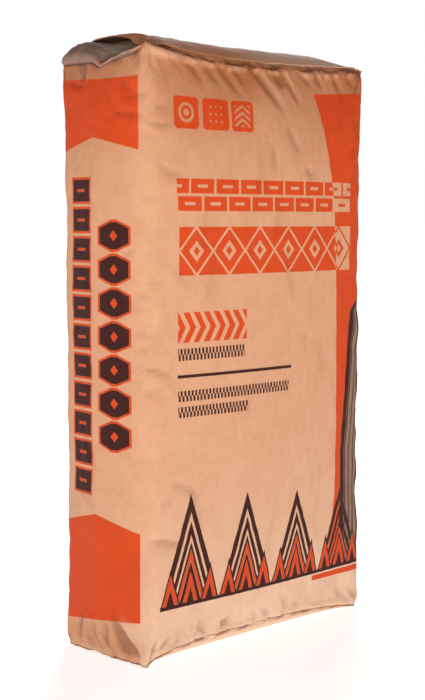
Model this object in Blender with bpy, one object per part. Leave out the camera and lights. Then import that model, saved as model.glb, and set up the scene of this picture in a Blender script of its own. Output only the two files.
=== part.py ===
"""Filled paper cement sack with pasted block ends and a valve, standing on its bottom end.

Metres, +Z up. The front panel faces -Y and the valve is at the -X end. The origin is on the floor,
under the middle of the sack.
"""

import math

import bmesh
import bpy
from mathutils import Vector

# Paper tube
TUBE_FLAT_WIDTH = 0.510  # half of the girth, which the paper keeps at every height
END_DEPTH = 0.144  # width of the folded block ends, front to back
WALL_HEIGHT = 0.683  # from the flat base to the top fold line
FOLD_RADIUS = 0.006  # of the four upright corners at the folded ends
FOLD_BOW = 0.002  # of the panels at the folded ends

# The middle, which the cement pushes out
BELLY_DEPTH = 0.168  # front to back
BELLY_CORNER_RADIUS = 0.030
BELLY_FRONT_BOW = 0.014
BELLY_SIDE_BOW = 0.010
BELLY_CREASE_ANGLE = 4.0  # degrees that each half of a side leans back from the tube's flat crease
BELLY_SPREAD_POWER = 6.0  # higher keeps the sack full closer to its ends

# Top end
TOP_CROWN_AT_VALVE = 0.017  # how far the fill lifts the top above its fold line
TOP_CROWN_FAR = 0.016
TOP_EDGE_SLOPE = 0.060  # in from the fold lines
TOP_BACK_SLOPE = 0.014  # in from the back fold line at the valve, where the top is fuller
TOP_VALVE_SLOPE = 0.048  # in from the fold line at the valve, where the front half rises slowly
TOP_VALVE_ROUNDING = 0.024  # in from the fold line at the valve, in the back half
TOP_FOLD_SAG = 0.009  # of the front and back fold lines at their middles
TOP_NOTCH_DEPTH = 0.009  # dip of the fold line at the valve where the tube's crease meets it
TOP_NOTCH_FRONT_REACH = 0.018
TOP_NOTCH_BACK_REACH = 0.008
VALVE_CORNER_RISE = 0.006  # of the front corner at the valve
VALVE_SIDE_DROP = 0.0075  # of the fold line at the valve, but for its front end

# Bottom end
BASE_CORNER_LIFT = 0.001  # of the fold line above the flat base, at the corners
BASE_FRONT_LIFT = 0.013  # at the middles of the front and the back
BASE_SIDE_LIFT = 0.003  # at the middles of the sides
BASE_EDGE_SLOPE = 0.022  # in from the fold lines

# Glued-on sheets
COVER_THICKNESS = 0.0012
COVER_SIDE_INSET = 0.004  # from the front and back fold lines
COVER_END_INSET = 0.010  # from the other fold lines
BOND_GAP = 0.0003  # between pieces glued face to face

# Valve sleeve, flattened under the top cover
VALVE_WIDTH = 0.078  # across the sack
VALVE_OFFSET = 0.020  # of its middle, towards the back
VALVE_INSET = 0.028  # of its mouth, from the fold line
VALVE_LENGTH = 0.062
VALVE_LIP = 0.016  # how far the lower ply runs out past the upper one
VALVE_PLY = 0.0008
VALVE_GAPE = 0.0030  # of the mouth, which the fill presses nearly shut

# Facets
WALL_RINGS = 24
LONGEST_STEP = 0.024  # between facet corners along the ends
SHORTEST_STEP = 0.0005

PANEL_WIDTH = TUBE_FLAT_WIDTH - END_DEPTH
HALF_PANEL = PANEL_WIDTH / 2
HALF_END = END_DEPTH / 2
QUARTER_GIRTH = TUBE_FLAT_WIDTH / 2
BASE_LEVEL = COVER_THICKNESS + BOND_GAP
TOP_LEVEL = BASE_LEVEL + WALL_HEIGHT
MOUTH = VALVE_INSET - HALF_PANEL
LIP_END = MOUTH - VALVE_LIP
VALVE_INNER_END = MOUTH + VALVE_LENGTH
VALVE_FRONT_EDGE = VALVE_OFFSET - VALVE_WIDTH / 2
VALVE_BACK_EDGE = VALVE_OFFSET + VALVE_WIDTH / 2

KRAFT = (0.60, 0.36, 0.21)
COVER_KRAFT = (0.56, 0.35, 0.21)
VALVE_KRAFT = (0.42, 0.31, 0.24)


def mix(a, b, share):
    return a + (b - a) * share


def ease(share):
    share = min(max(share, 0.0), 1.0)
    return share * share * (3 - 2 * share)


def arc_radius(half_chord, bow):
    return (half_chord**2 + bow**2) / (2 * bow)


class Section:
    """A quarter of the girth at one height: the bowed front, the corner, and the bowed side up to
    the tube's flat crease, as three arcs that run into each other."""

    def __init__(self, half_width, half_depth, corner_radius, front_bow, side_bow, crease_angle):
        self.corner_radius = corner_radius
        self.front_radius = arc_radius(half_width, front_bow)
        self.side_radius = arc_radius(half_depth, side_bow)
        self.crease_angle = crease_angle
        lean = Vector((math.cos(crease_angle), math.sin(crease_angle)))
        self.front_centre = Vector((0.0, self.front_radius - half_depth))
        self.side_centre = Vector((-half_width, 0.0)) + lean * self.side_radius
        front_reach = self.front_radius - corner_radius
        side_reach = self.side_radius - corner_radius
        between = self.side_centre - self.front_centre
        distance = between.length
        along = between / distance
        outward = Vector((along.y, -along.x))
        run = (front_reach**2 - side_reach**2 + distance**2) / (2 * distance)
        rise = math.sqrt(max(front_reach**2 - run**2, 0.0))
        self.corner_centre = self.front_centre + along * run + outward * rise
        to_front = self.front_centre - self.corner_centre
        to_side = self.side_centre - self.corner_centre
        self.front_angle = math.atan2(to_front.x, to_front.y)
        self.side_angle = math.atan2(to_side.y, to_side.x)
        turn = math.pi / 2 - self.front_angle - self.side_angle
        self.front_length = self.front_radius * self.front_angle
        self.corner_length = corner_radius * turn
        self.side_length = self.side_radius * (self.side_angle - crease_angle)
        self.length = self.front_length + self.corner_length + self.side_length

    def point(self, share):
        """Distances to the left and to the front at a share of the way from the middle of the
        front to the side crease."""
        run = share * self.length
        if run <= self.front_length:
            centre, radius = self.front_centre, self.front_radius
            angle = run / radius
        elif run <= self.front_length + self.corner_length:
            centre, radius = self.corner_centre, self.corner_radius
            angle = self.front_angle + (run - self.front_length) / radius
        else:
            centre, radius = self.side_centre, self.side_radius
            angle = math.pi / 2 - self.crease_angle - (self.length - run) / radius
        reach = Vector((math.sin(angle), math.cos(angle))) * radius
        return reach.x - centre.x, reach.y - centre.y


def section_at(fullness):
    """The section whose width makes its girth the tube's, from folded (0) to full (1)."""
    shape = (
        mix(END_DEPTH, BELLY_DEPTH, fullness) / 2,
        mix(FOLD_RADIUS, BELLY_CORNER_RADIUS, fullness),
        mix(FOLD_BOW, BELLY_FRONT_BOW, fullness),
        mix(FOLD_BOW, BELLY_SIDE_BOW, fullness),
        math.radians(BELLY_CREASE_ANGLE) * fullness,
    )
    narrow, wide = HALF_END, QUARTER_GIRTH
    for _ in range(50):
        half_width = (narrow + wide) / 2
        section = Section(half_width, *shape)
        if section.length > QUARTER_GIRTH:
            wide = half_width
        else:
            narrow = half_width
    return section


def fullness_at(height_share):
    return 1 - abs(2 * height_share - 1) ** BELLY_SPREAD_POWER


def places_through(marks):
    """The marks in order, with equal steps between those that lie far apart."""
    places = [min(marks)]
    for mark in sorted(marks)[1:]:
        gap = mark - places[-1]
        if gap > SHORTEST_STEP:
            count = math.ceil(gap / LONGEST_STEP)
            start = places[-1]
            places += [mix(start, mark, k / count) for k in range(1, count + 1)]
    return places


def between(places, low, high):
    return [place for place in places if low - SHORTEST_STEP < place < high + SHORTEST_STEP]


def mirrored(distances):
    return [sign * distance for distance in distances for sign in (-1, 1)]


ALONG = places_through(
    mirrored(
        (
            HALF_PANEL,
            HALF_PANEL - COVER_END_INSET / 3,
            HALF_PANEL - COVER_END_INSET,
            HALF_PANEL - BASE_EDGE_SLOPE,
        )
    )
    + [MOUTH, LIP_END, VALVE_INNER_END]
)
ACROSS = places_through(
    mirrored(
        (
            HALF_END,
            HALF_END - COVER_SIDE_INSET,
            HALF_END - COVER_SIDE_INSET * 2,
            HALF_END - BASE_EDGE_SLOPE,
            TOP_NOTCH_BACK_REACH,
            TOP_NOTCH_BACK_REACH / 2,
            0.0,
        )
    )
    + [VALVE_FRONT_EDGE, VALVE_BACK_EDGE]
)


def girth_places():
    """Places round the folded ends in order: front, right side, back, left side."""
    front = [(along, ACROSS[0]) for along in ALONG[:-1]]
    right = [(ALONG[-1], across) for across in ACROSS[:-1]]
    back = [(along, ACROSS[-1]) for along in reversed(ALONG[1:])]
    left = [(ALONG[0], across) for across in reversed(ACROSS[1:])]
    return front + right + back + left


def girth_point(section, along, across):
    """Where a place of the folded end's edge lies on a section of the tube."""
    on_side = along in (ALONG[0], ALONG[-1])
    run = HALF_PANEL + HALF_END - abs(across) if on_side else abs(along)
    left, front = section.point(run / QUARTER_GIRTH)
    return math.copysign(left, along), math.copysign(front, across)


def end_plan():
    """Plan positions of the places on a folded end: the bowed edge, and a straight grid inside."""
    section = section_at(0.0)
    plan = {place: girth_point(section, *place) for place in girth_places()}
    plan.update({(along, across): (along, across) for along in ALONG[1:-1] for across in ACROSS[1:-1]})
    return plan


def rounding(distance, spread):
    """Share of its full rise that a rounded edge has at a distance in from its fold line."""
    share = min(max(distance / spread, 0.0), 1.0)
    return math.sqrt(1 - (1 - share) ** 2)


def sloping(distance, spread):
    """Share of its full rise that a surface has at a distance in from its fold line, where it leaves
    that line as a slope and levels out over the spread."""
    share = min(max(distance / spread, 0.0), 1.0)
    return 1 - (1 - share) ** 2


def top_sag(along, across):
    """How far the front and back fold lines sag towards their middles."""
    s = along / HALF_PANEL
    t = across / HALF_END
    return TOP_FOLD_SAG * (1 - s**2) * t**2


def valve_fold(along, across):
    """Height that the fold lines gain or lose at the valve."""
    s = along / HALF_PANEL
    t = across / HALF_END
    at_valve = ease((-s - 0.5) / 0.5)
    corner = VALVE_CORNER_RISE * at_valve * ((1 - t) / 2) ** 20
    drop = VALVE_SIDE_DROP * at_valve * min((1 + t) / 0.8, 1.0)
    reach = TOP_NOTCH_FRONT_REACH if across < 0 else TOP_NOTCH_BACK_REACH
    notch = TOP_NOTCH_DEPTH * math.exp(-((across / reach) ** 2)) * ease((-s - 0.9) / 0.1)
    return corner - drop - notch


def top_of_sack(along, across):
    at_valve = ease((-along / HALF_PANEL - 0.3) / 0.6)
    at_back = ease(across / HALF_END + 0.4)
    side_slope = mix(TOP_EDGE_SLOPE, TOP_BACK_SLOPE, at_valve) if across > 0 else TOP_EDGE_SLOPE
    from_sides = sloping(HALF_END - abs(across), side_slope)
    from_fold = HALF_PANEL + along
    from_valve = mix(ease(from_fold / TOP_VALVE_SLOPE), rounding(from_fold, TOP_VALVE_ROUNDING), at_back)
    from_far_end = sloping(HALF_PANEL - along, TOP_EDGE_SLOPE)
    crown = mix(TOP_CROWN_AT_VALVE, TOP_CROWN_FAR, (along + HALF_PANEL) / PANEL_WIDTH)
    rise = from_sides * from_valve * from_far_end
    return TOP_LEVEL - top_sag(along, across) + mix(valve_fold(along, across), crown, rise)


def base_fold(along, across):
    """Height of the bottom fold line over the flat base."""
    s = abs(along) / HALF_PANEL
    t = abs(across) / HALF_END
    front = (BASE_FRONT_LIFT - BASE_CORNER_LIFT) * (1 - s**3) * t
    side = (BASE_SIDE_LIFT - BASE_CORNER_LIFT) * (1 - t**2) * s
    return BASE_CORNER_LIFT + front + side


def base_of_sack(along, across):
    inside = sloping(HALF_END - abs(across), BASE_EDGE_SLOPE)
    inside *= sloping(HALF_PANEL - abs(along), BASE_EDGE_SLOPE)
    return BASE_LEVEL + base_fold(along, across) * (1 - inside)


def valve_seat(along, across):
    return top_of_sack(along, across) + BOND_GAP


def valve_gape(along, across):
    """Height of the space between the sleeve's plies: widest at the middle of its mouth."""
    depth_share = min(max((along - MOUTH) / VALVE_LENGTH, 0.0), 1.0)
    width_share = min(2 * abs(across - VALVE_OFFSET) / VALVE_WIDTH, 1.0)
    return VALVE_GAPE * (1 - depth_share) * (1 - width_share**2)


def valve_top(along, across):
    return valve_seat(along, across) + 2 * VALVE_PLY + valve_gape(along, across)


def underside_of_cover(along, across):
    over_valve = (
        MOUTH - SHORTEST_STEP < along < VALVE_INNER_END + SHORTEST_STEP
        and VALVE_FRONT_EDGE - SHORTEST_STEP < across < VALVE_BACK_EDGE + SHORTEST_STEP
    )
    carrier = valve_top if over_valve else top_of_sack
    return carrier(along, across) + BOND_GAP


def add_surface(bm, plan, alongs, acrosses, level, lift=0.0):
    """Corner points of a surface over an end's places, at a lift from its level."""
    points = {}
    for along in alongs:
        for across in acrosses:
            x, y = plan[along, across]
            points[along, across] = bm.verts.new((x, y, level(along, across) + lift))
    return points


def add_cells(bm, points, alongs, acrosses):
    for a, b in zip(alongs, alongs[1:]):
        for c, d in zip(acrosses, acrosses[1:]):
            bm.faces.new((points[a, c], points[b, c], points[b, d], points[a, d]))


def edge_pairs(alongs, acrosses):
    """Neighbouring places along the edge of a grid, as (first, second)."""
    pairs = [((a, c), (b, c)) for a, b in zip(alongs, alongs[1:]) for c in (acrosses[0], acrosses[-1])]
    pairs += [((a, c), (a, d)) for c, d in zip(acrosses, acrosses[1:]) for a in (alongs[0], alongs[-1])]
    return pairs


def add_object(name, bm, colour):
    bmesh.ops.triangulate(bm, faces=bm.faces, quad_method="FIXED")
    bmesh.ops.recalc_face_normals(bm, faces=bm.faces)
    mesh = bpy.data.meshes.new(name)
    bm.to_mesh(mesh)
    bm.free()
    mesh.shade_smooth()
    mesh.set_sharp_from_angle(angle=math.radians(40))
    material = bpy.data.materials.new(name)
    material.use_nodes = True
    shader = material.node_tree.nodes["Principled BSDF"]
    shader.inputs["Base Color"].default_value = (*colour, 1.0)
    shader.inputs["Roughness"].default_value = 0.8
    shader.inputs["Metallic"].default_value = 0.0
    mesh.materials.append(material)
    bpy.context.scene.collection.objects.link(bpy.data.objects.new(name, mesh))


def make_sack(plan):
    """The paper tube with both its ends folded, filled solid."""
    bm = bmesh.new()
    places = girth_places()
    rings = []
    for k in range(WALL_RINGS + 1):
        share = (1 - math.cos(math.pi * k / WALL_RINGS)) / 2
        section = section_at(fullness_at(share))
        ring = []
        for place in places:
            height = mix(base_of_sack(*place), top_of_sack(*place), share)
            ring.append(bm.verts.new((*girth_point(section, *place), height)))
        rings.append(ring)
    for lower, upper in zip(rings, rings[1:]):
        for k in range(len(places)):
            after = (k + 1) % len(places)
            bm.faces.new((lower[k], lower[after], upper[after], upper[k]))
    for ring, level in ((rings[0], base_of_sack), (rings[-1], top_of_sack)):
        end = add_surface(bm, plan, ALONG[1:-1], ACROSS[1:-1], level)
        end.update(zip(places, ring))
        add_cells(bm, end, ALONG, ACROSS)
    add_object("paper_sack", bm, KRAFT)


def make_cover(name, plan, alongs, level, lower_lift, upper_lift):
    """A sheet glued over an end, between two lifts from a level."""
    bm = bmesh.new()
    inner_side = HALF_END - COVER_SIDE_INSET
    acrosses = between(ACROSS, -inner_side, inner_side)
    lower = add_surface(bm, plan, alongs, acrosses, level, lower_lift)
    upper = add_surface(bm, plan, alongs, acrosses, level, upper_lift)
    add_cells(bm, lower, alongs, acrosses)
    add_cells(bm, upper, alongs, acrosses)
    for first, second in edge_pairs(alongs, acrosses):
        bm.faces.new((lower[first], lower[second], upper[second], upper[first]))
    add_object(name, bm, COVER_KRAFT)


def make_valve(plan):
    """The flattened sleeve: a lower ply with a lip, and an upper ply joined to it along both sides
    and at the inner end, so that only the mouth is open."""
    bm = bmesh.new()
    alongs = between(ALONG, LIP_END, VALVE_INNER_END)
    acrosses = between(ACROSS, VALVE_FRONT_EDGE, VALVE_BACK_EDGE)
    inside = between(ALONG, MOUTH, VALVE_INNER_END)
    pocket_alongs, pocket_acrosses = inside[:-1], acrosses[1:-1]

    under = add_surface(bm, plan, alongs, acrosses, valve_seat)
    floor = add_surface(bm, plan, pocket_alongs, pocket_acrosses, valve_seat, VALVE_PLY)
    lip = add_surface(bm, plan, between(alongs, LIP_END, MOUTH)[:-1], acrosses, valve_seat, VALVE_PLY)
    roof = {}
    for place in floor:
        x, y = plan[place]
        height = valve_top(*place) - VALVE_PLY
        shut = place[0] == pocket_alongs[-1] or place[1] in (pocket_acrosses[0], pocket_acrosses[-1])
        roof[place] = floor[place] if shut else bm.verts.new((x, y, height))
    top = add_surface(bm, plan, inside, acrosses, valve_top)
    hinge = add_surface(bm, plan, inside[:1], (acrosses[0], acrosses[-1]), valve_seat, VALVE_PLY)

    add_cells(bm, under, alongs, acrosses)
    add_cells(bm, top, inside, acrosses)
    add_cells(bm, floor, pocket_alongs, pocket_acrosses)
    add_cells(bm, roof, pocket_alongs, pocket_acrosses)
    mouth = inside[0]
    lip_edge = {place: point for place, point in (*floor.items(), *hinge.items()) if place[0] == mouth}
    lip_top = lip | lip_edge
    lip_alongs = between(alongs, LIP_END, MOUTH)
    add_cells(bm, lip_top, lip_alongs, acrosses)
    for c, d in zip(acrosses, acrosses[1:]):
        bm.faces.new([under[alongs[0], c], under[alongs[0], d], lip[alongs[0], d], lip[alongs[0], c]])
        bm.faces.new([under[inside[-1], c], under[inside[-1], d], top[inside[-1], d], top[inside[-1], c]])
        lower = [lip_top[mouth, c], lip_top[mouth, d]]
        upper = [top[mouth, d], top[mouth, c]]
        if (mouth, c) in roof:
            lower[0] = roof[mouth, c]
        if (mouth, d) in roof:
            lower[1] = roof[mouth, d]
        bm.faces.new(lower + upper)
    for c in (acrosses[0], acrosses[-1]):
        for a, b in zip(lip_alongs, lip_alongs[1:]):
            bm.faces.new((under[a, c], under[b, c], lip_top[b, c], lip_top[a, c]))
        for a, b in zip(inside, inside[1:]):
            side = [under[a, c], under[b, c], top[b, c], top[a, c]]
            if a == mouth:
                side.append(lip_top[a, c])
            bm.faces.new(side)
    add_object("valve_sleeve", bm, VALVE_KRAFT)


def main():
    for thing in list(bpy.data.objects):
        bpy.data.objects.remove(thing, do_unlink=True)
    plan = end_plan()
    make_sack(plan)
    far_edge = HALF_PANEL - COVER_END_INSET
    make_cover(
        "top_cover_sheet",
        plan,
        between(ALONG, MOUTH, far_edge),
        underside_of_cover,
        0.0,
        COVER_THICKNESS,
    )
    make_cover(
        "bottom_cover_sheet",
        plan,
        between(ALONG, -far_edge, far_edge),
        base_of_sack,
        -BASE_LEVEL,
        -BOND_GAP,
    )
    make_valve(plan)


main()
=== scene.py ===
"""Looks of a filled paper cement sack that stands on its folded bottom end.

Metres, +Z up. A place on the paper tube is (girth, height): girth runs from the tube's flat crease at
the valve end along that side to the front panel and on round the sack, height up the paper from the
flat base.
"""

import math
from typing import NamedTuple

import bmesh
import bpy
import numpy as np
from bpy.props import FloatProperty, FloatVectorProperty, IntProperty, PointerProperty
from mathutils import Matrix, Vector, noise


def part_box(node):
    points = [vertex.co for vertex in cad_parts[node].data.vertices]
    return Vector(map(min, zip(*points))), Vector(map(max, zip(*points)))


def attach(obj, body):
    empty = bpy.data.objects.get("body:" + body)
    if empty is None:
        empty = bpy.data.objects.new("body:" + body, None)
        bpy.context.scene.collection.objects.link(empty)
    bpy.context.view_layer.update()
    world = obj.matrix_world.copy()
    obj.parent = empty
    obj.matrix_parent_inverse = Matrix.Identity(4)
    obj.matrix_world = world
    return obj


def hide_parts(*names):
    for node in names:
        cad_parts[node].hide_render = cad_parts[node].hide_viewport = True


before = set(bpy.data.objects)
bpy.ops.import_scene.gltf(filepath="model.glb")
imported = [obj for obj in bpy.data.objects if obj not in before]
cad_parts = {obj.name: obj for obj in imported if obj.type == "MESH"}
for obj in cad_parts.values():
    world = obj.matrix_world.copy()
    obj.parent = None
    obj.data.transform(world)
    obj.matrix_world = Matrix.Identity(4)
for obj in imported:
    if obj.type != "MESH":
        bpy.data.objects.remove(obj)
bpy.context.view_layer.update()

bl_info = {
    "name": "Paper Cement Sack",
    "version": (1, 0, 0),
    "blender": (4, 5, 0),
    "location": "View3D > Sidebar > Sack",
    "description": "Builds the paper, end sheets, valve and print of a filled cement sack",
    "category": "Add Mesh",
}

BODY = "root"

# The solids, as the frame has them
SACK_LOW, SACK_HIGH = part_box("paper_sack")
BASE_SHEET_LOW, BASE_SHEET_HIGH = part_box("bottom_cover_sheet")
TOP_SHEET_LOW, TOP_SHEET_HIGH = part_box("top_cover_sheet")
VALVE_LOW, VALVE_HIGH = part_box("valve_sleeve")

# The folded ends
COVER_END_INSET = 0.010
COVER_SIDE_INSET = 0.004
HALF_PANEL = BASE_SHEET_HIGH.x + COVER_END_INSET
HALF_END = BASE_SHEET_HIGH.y + COVER_SIDE_INSET
QUARTER_GIRTH = HALF_PANEL + HALF_END
GIRTH = 4 * QUARTER_GIRTH
FOLD_RADIUS = 0.006
FOLD_BOW = 0.002
BASE_LEVEL = SACK_LOW.z
WALL_HEIGHT = 0.683
TOP_LEVEL = BASE_LEVEL + WALL_HEIGHT
MOUTH = TOP_SHEET_LOW.x
LIP_END = VALVE_LOW.x
FAR_EDGE = TOP_SHEET_HIGH.x
SHEET_FRONT, SHEET_BACK = TOP_SHEET_LOW.y, TOP_SHEET_HIGH.y

# Girth of the four upright corners at the folded ends
NEAR_CORNER = HALF_END
RIGHT_CORNER = NEAR_CORNER + 2 * HALF_PANEL
BACK_RIGHT_CORNER = RIGHT_CORNER + 2 * HALF_END
BACK_LEFT_CORNER = BACK_RIGHT_CORNER + 2 * HALF_PANEL
CORNERS = (NEAR_CORNER, RIGHT_CORNER, BACK_RIGHT_CORNER, BACK_LEFT_CORNER)

# Rise and fall of the fold lines and the ends
TOP_CROWN_AT_VALVE = 0.017
TOP_CROWN_FAR = 0.016
TOP_EDGE_SLOPE = 0.060
TOP_BACK_SLOPE = 0.014
TOP_VALVE_SLOPE = 0.048
TOP_VALVE_ROUNDING = 0.024
TOP_FOLD_SAG = 0.009
TOP_NOTCH_DEPTH = 0.009
TOP_NOTCH_FRONT_REACH = 0.018
TOP_NOTCH_BACK_REACH = 0.008
VALVE_CORNER_RISE = 0.006
VALVE_SIDE_DROP = 0.0075
BASE_CORNER_LIFT = -0.0010
BASE_FRONT_LIFT = 0.0155
BASE_SIDE_LIFT = -0.0010
BASE_EDGE_SLOPE = 0.027
LOWEST_PAPER = 0.0003
FOLD_REACH = 0.080  # how far along the wall a fold line's rise or fall is felt
NOTCH_REACH = 0.026
MOUTH_DIP = 0.0042  # of the top under the valve's mouth

# The lap where the tube is pasted, up the back panel
SEAM_ALONG = 0.052
SEAM_LAP = 0.026
PLY = 0.0006
CUT_EDGE = 0.0004

# Print, in metres of girth and height on one half of the tube; the other half repeats it
REPEAT = GIRTH / 2
PRINT_RAISE = 0.0033  # of all heights below, on the paper
TILE_SPANS = ((0.108, 0.144), (0.150, 0.190), (0.194, 0.229))
TILE_HEIGHTS = (0.594, 0.630)
BRICK_ROW = ((0.111, 0.411), (0.502, 0.541))
LOZENGE_ROW = ((0.114, 0.411), (0.432, 0.486))
CHEVRON_ROW = ((0.112, 0.216), (0.357, 0.391))
RULE = ((0.112, 0.293), (0.3175, 0.3210))
CHECK_ROWS = (
    ((0.112, 0.213), (0.337, 0.3505)),
    ((0.112, 0.289), (0.291, 0.303)),
    ((0.112, 0.218), (0.273, 0.285)),
)
FRIEZE = ((0.087, 0.4365), (0.057, 0.190))
BAND_EDGE = 0.383
BAND_TOP = 0.647
BAND_RIGHT = 0.4375
BAND_FOOT = 0.058
BAND_MIDDLE_HEIGHT = 0.270
BAND_SPREAD_UP, BAND_SPREAD_DOWN = 0.374, 0.224
TAPER_KNEE = (0.413, 0.381)
HEADINGS_ON_BAND = ((0.36, 0.411), (0.430, 0.5415))
SIDE_BLOCK_HALF = 0.0635
SIDE_TOP, SIDE_NOTCH, SIDE_PEAK, SIDE_FOOT = 0.6522, 0.585, 0.162, 0.0386
SIDE_CHAIN = ((0.006, 0.054), (0.234, 0.495))
SIDE_BARS = ((-0.044, -0.005), (0.181, 0.543))
INK_SOFTNESS = 0.0007
INK_WOBBLE = 0.0011
UNPRINTED_PLACE = (3.0, -2.0)  # where the folded ends lie on the paper's map

# Tones of wear, ink and grains, and the painted shade of folds, creases and the top, beside the colours in
# the settings
WORN_PRINTED, WORN_PLAIN = (0.84, 0.56, 0.36), (0.80, 0.54, 0.36)
# Painted shade in the valleys of folds and creases
CREASE_SHADE_PRINTED, CREASE_SHADE_PLAIN = (0.110, 0.036, 0.014), (0.17, 0.070, 0.030)
SHADED_INK, THIN_INK = (0.48, 0.042, 0.007), (0.42, 0.25, 0.17)
# Painted shade tints: near the top fold lines, and along the fine crease lines
TOP_SHADE_TINT, CREASE_SHADE_TINT = (0.62, 0.52, 0.50), (0.50, 0.40, 0.36)
DARK_GRAIN = (0.24, 0.22, 0.20)
FIBRE, PALE_FIBRE = (0.70, 0.44, 0.28), (0.88, 0.66, 0.46)

SNUG = 1e-6  # how near a grid line lies to the value it was snapped to
FULL_PRESS = 0.0016  # depth of a groove that is painted fully shaded
FREE_EDGES = (("top_cover", 0, MOUTH), ("top_cover", 1, SHEET_FRONT), ("valve", 0, LIP_END))
EDGE_REACH = 0.0012  # how far from its line a ragged free edge lies


def ease(share):
    share = np.clip(share, 0.0, 1.0)
    return share * share * (3 - 2 * share)


def mix(a, b, share):
    return a + (b - a) * share


def hump(distance, spread):
    """1 at no distance, rounded, fading to nothing past the spread."""
    return np.exp(-((distance / spread) ** 2))


def peak(distance, spread):
    """1 at no distance, pointed, fading to nothing past the spread."""
    return np.exp(-np.abs(distance) / spread)


def round_from(girths, place):
    """Girths measured from a place, the short way round the sack."""
    return (girths - place + GIRTH / 2) % GIRTH - GIRTH / 2


def noise_at(points, scale, offset=0.0):
    """Smooth noise from -1 to 1 at an array of points."""
    shift = Vector((offset, 1.7 * offset, 0.6 * offset))
    flat = points.reshape(-1, 3)
    values = [noise.noise(Vector(point) * scale + shift) for point in flat]
    return np.array(values).reshape(points.shape[:-1])


def mesh_points(mesh):
    points = np.empty(len(mesh.vertices) * 3)
    mesh.vertices.foreach_get("co", points)
    return points.reshape(-1, 3)


def add_object(name, data):
    """A new object, linked to the scene."""
    added = bpy.data.objects.new(name, data)
    bpy.context.scene.collection.objects.link(added)
    return added


# Settings

class SackPaperSettings(bpy.types.PropertyGroup):
    """Shape and colours of the printed paper tube"""

    belly_depth: FloatProperty(
        name="Belly Depth", description="Front to back at the fullest height",
        default=SACK_HIGH.y - SACK_LOW.y, unit="LENGTH")
    corner_radius: FloatProperty(
        name="Corner Radius", description="Of the upright corners at the fullest height",
        default=0.030, unit="LENGTH")
    front_bow: FloatProperty(
        name="Front Bow", description="How far the broad panels bow out",
        default=0.014, unit="LENGTH")
    side_bow: FloatProperty(
        name="Side Bow", description="How far the narrow panels bow out",
        default=0.010, unit="LENGTH")
    crease_angle: FloatProperty(
        name="Side Crease", description="How far each half of a side leans back from the tube's flat crease",
        default=math.radians(4.0), subtype="ANGLE")
    fullness_power: FloatProperty(
        name="Fullness Near Ends", description="Higher keeps the sack full closer to its ends",
        default=6.0)
    paper_slack: FloatProperty(
        name="Paper Slack", description="Spare height of the paper, which the fill turns into ripples",
        default=0.016, unit="LENGTH")
    fill_pressure: FloatProperty(
        name="Fill Pressure", description="Pressure of the cement on the paper while it settles",
        default=4.0)
    ripple_gain: FloatProperty(
        name="Ripple Gain", description="How much of the settled ripples is kept",
        default=1.0, subtype="FACTOR")
    crumple: FloatProperty(
        name="Crumple", description="Height of the small crumples",
        default=0.00042, unit="LENGTH")
    pinch: FloatProperty(
        name="Fold Pinch", description="Depth of the groove along the end fold lines",
        default=0.0024, unit="LENGTH")
    fold_count: IntProperty(
        name="Folds", description="Small folds that run from each end fold line",
        default=46)
    seed: IntProperty(name="Seed", description="Picks the places of the small folds", default=11)
    kraft: FloatVectorProperty(
        name="Kraft", description="Colour of the bare paper",
        subtype="COLOR", default=(0.728, 0.384, 0.232))
    kraft_shade: FloatVectorProperty(
        name="Kraft Shade", description="Colour of the paper's darker fibres",
        subtype="COLOR", default=(0.540, 0.240, 0.115))
    # Painted shade: the dark colour mixed in near the top fold lines and at the foot of the side
    shaded_kraft: FloatVectorProperty(
        name="Shaded Kraft", description="Colour of the paper where paste darkens it, near the top",
        subtype="COLOR", default=(0.435, 0.127, 0.039))
    orange_ink: FloatVectorProperty(
        name="Orange Ink", description="Colour of the orange print",
        subtype="COLOR", default=(0.680, 0.066, 0.008))
    dark_ink: FloatVectorProperty(
        name="Dark Ink", description="Colour of the dark brown print",
        subtype="COLOR", default=(0.050, 0.012, 0.009))
    # Painted light: the paper is mixed towards this colour near the floor and towards the top sheet's far
    # end; the base and its sheet are pale too
    pale_kraft: FloatVectorProperty(
        name="Pale Kraft", description="Colour of the paper where fine dust lies on it, near the floor",
        subtype="COLOR", default=(0.800, 0.545, 0.390))
    dust: FloatVectorProperty(
        name="Cement Dust", description="Colour of the cement dust",
        subtype="COLOR", default=(0.285, 0.208, 0.168))


class SackEndSettings(bpy.types.PropertyGroup):
    """Sheets pasted over the folded ends"""

    sheet_thickness: FloatProperty(
        name="Sheet Thickness", description="Of the pasted end sheets",
        default=0.0008, unit="LENGTH")
    bond_gap: FloatProperty(
        name="Bond Gap", description="Between sheets pasted face to face",
        default=0.0003, unit="LENGTH")
    flap_step: FloatProperty(
        name="Flap Step", description="Relief of the folded flaps under the sheets",
        default=0.0007, unit="LENGTH")
    edge_lift: FloatProperty(
        name="Edge Lift", description="How far the sheets' free edges curl up",
        default=0.0005, unit="LENGTH")
    corner_curl: FloatProperty(
        name="Corner Curl", description="How far the top sheet's corner beside the valve stands up",
        default=0.0026, unit="LENGTH")
    sheet_kraft: FloatVectorProperty(
        name="Sheet Kraft", description="Colour of the end sheets",
        subtype="COLOR", default=(0.600, 0.228, 0.094))


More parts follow.
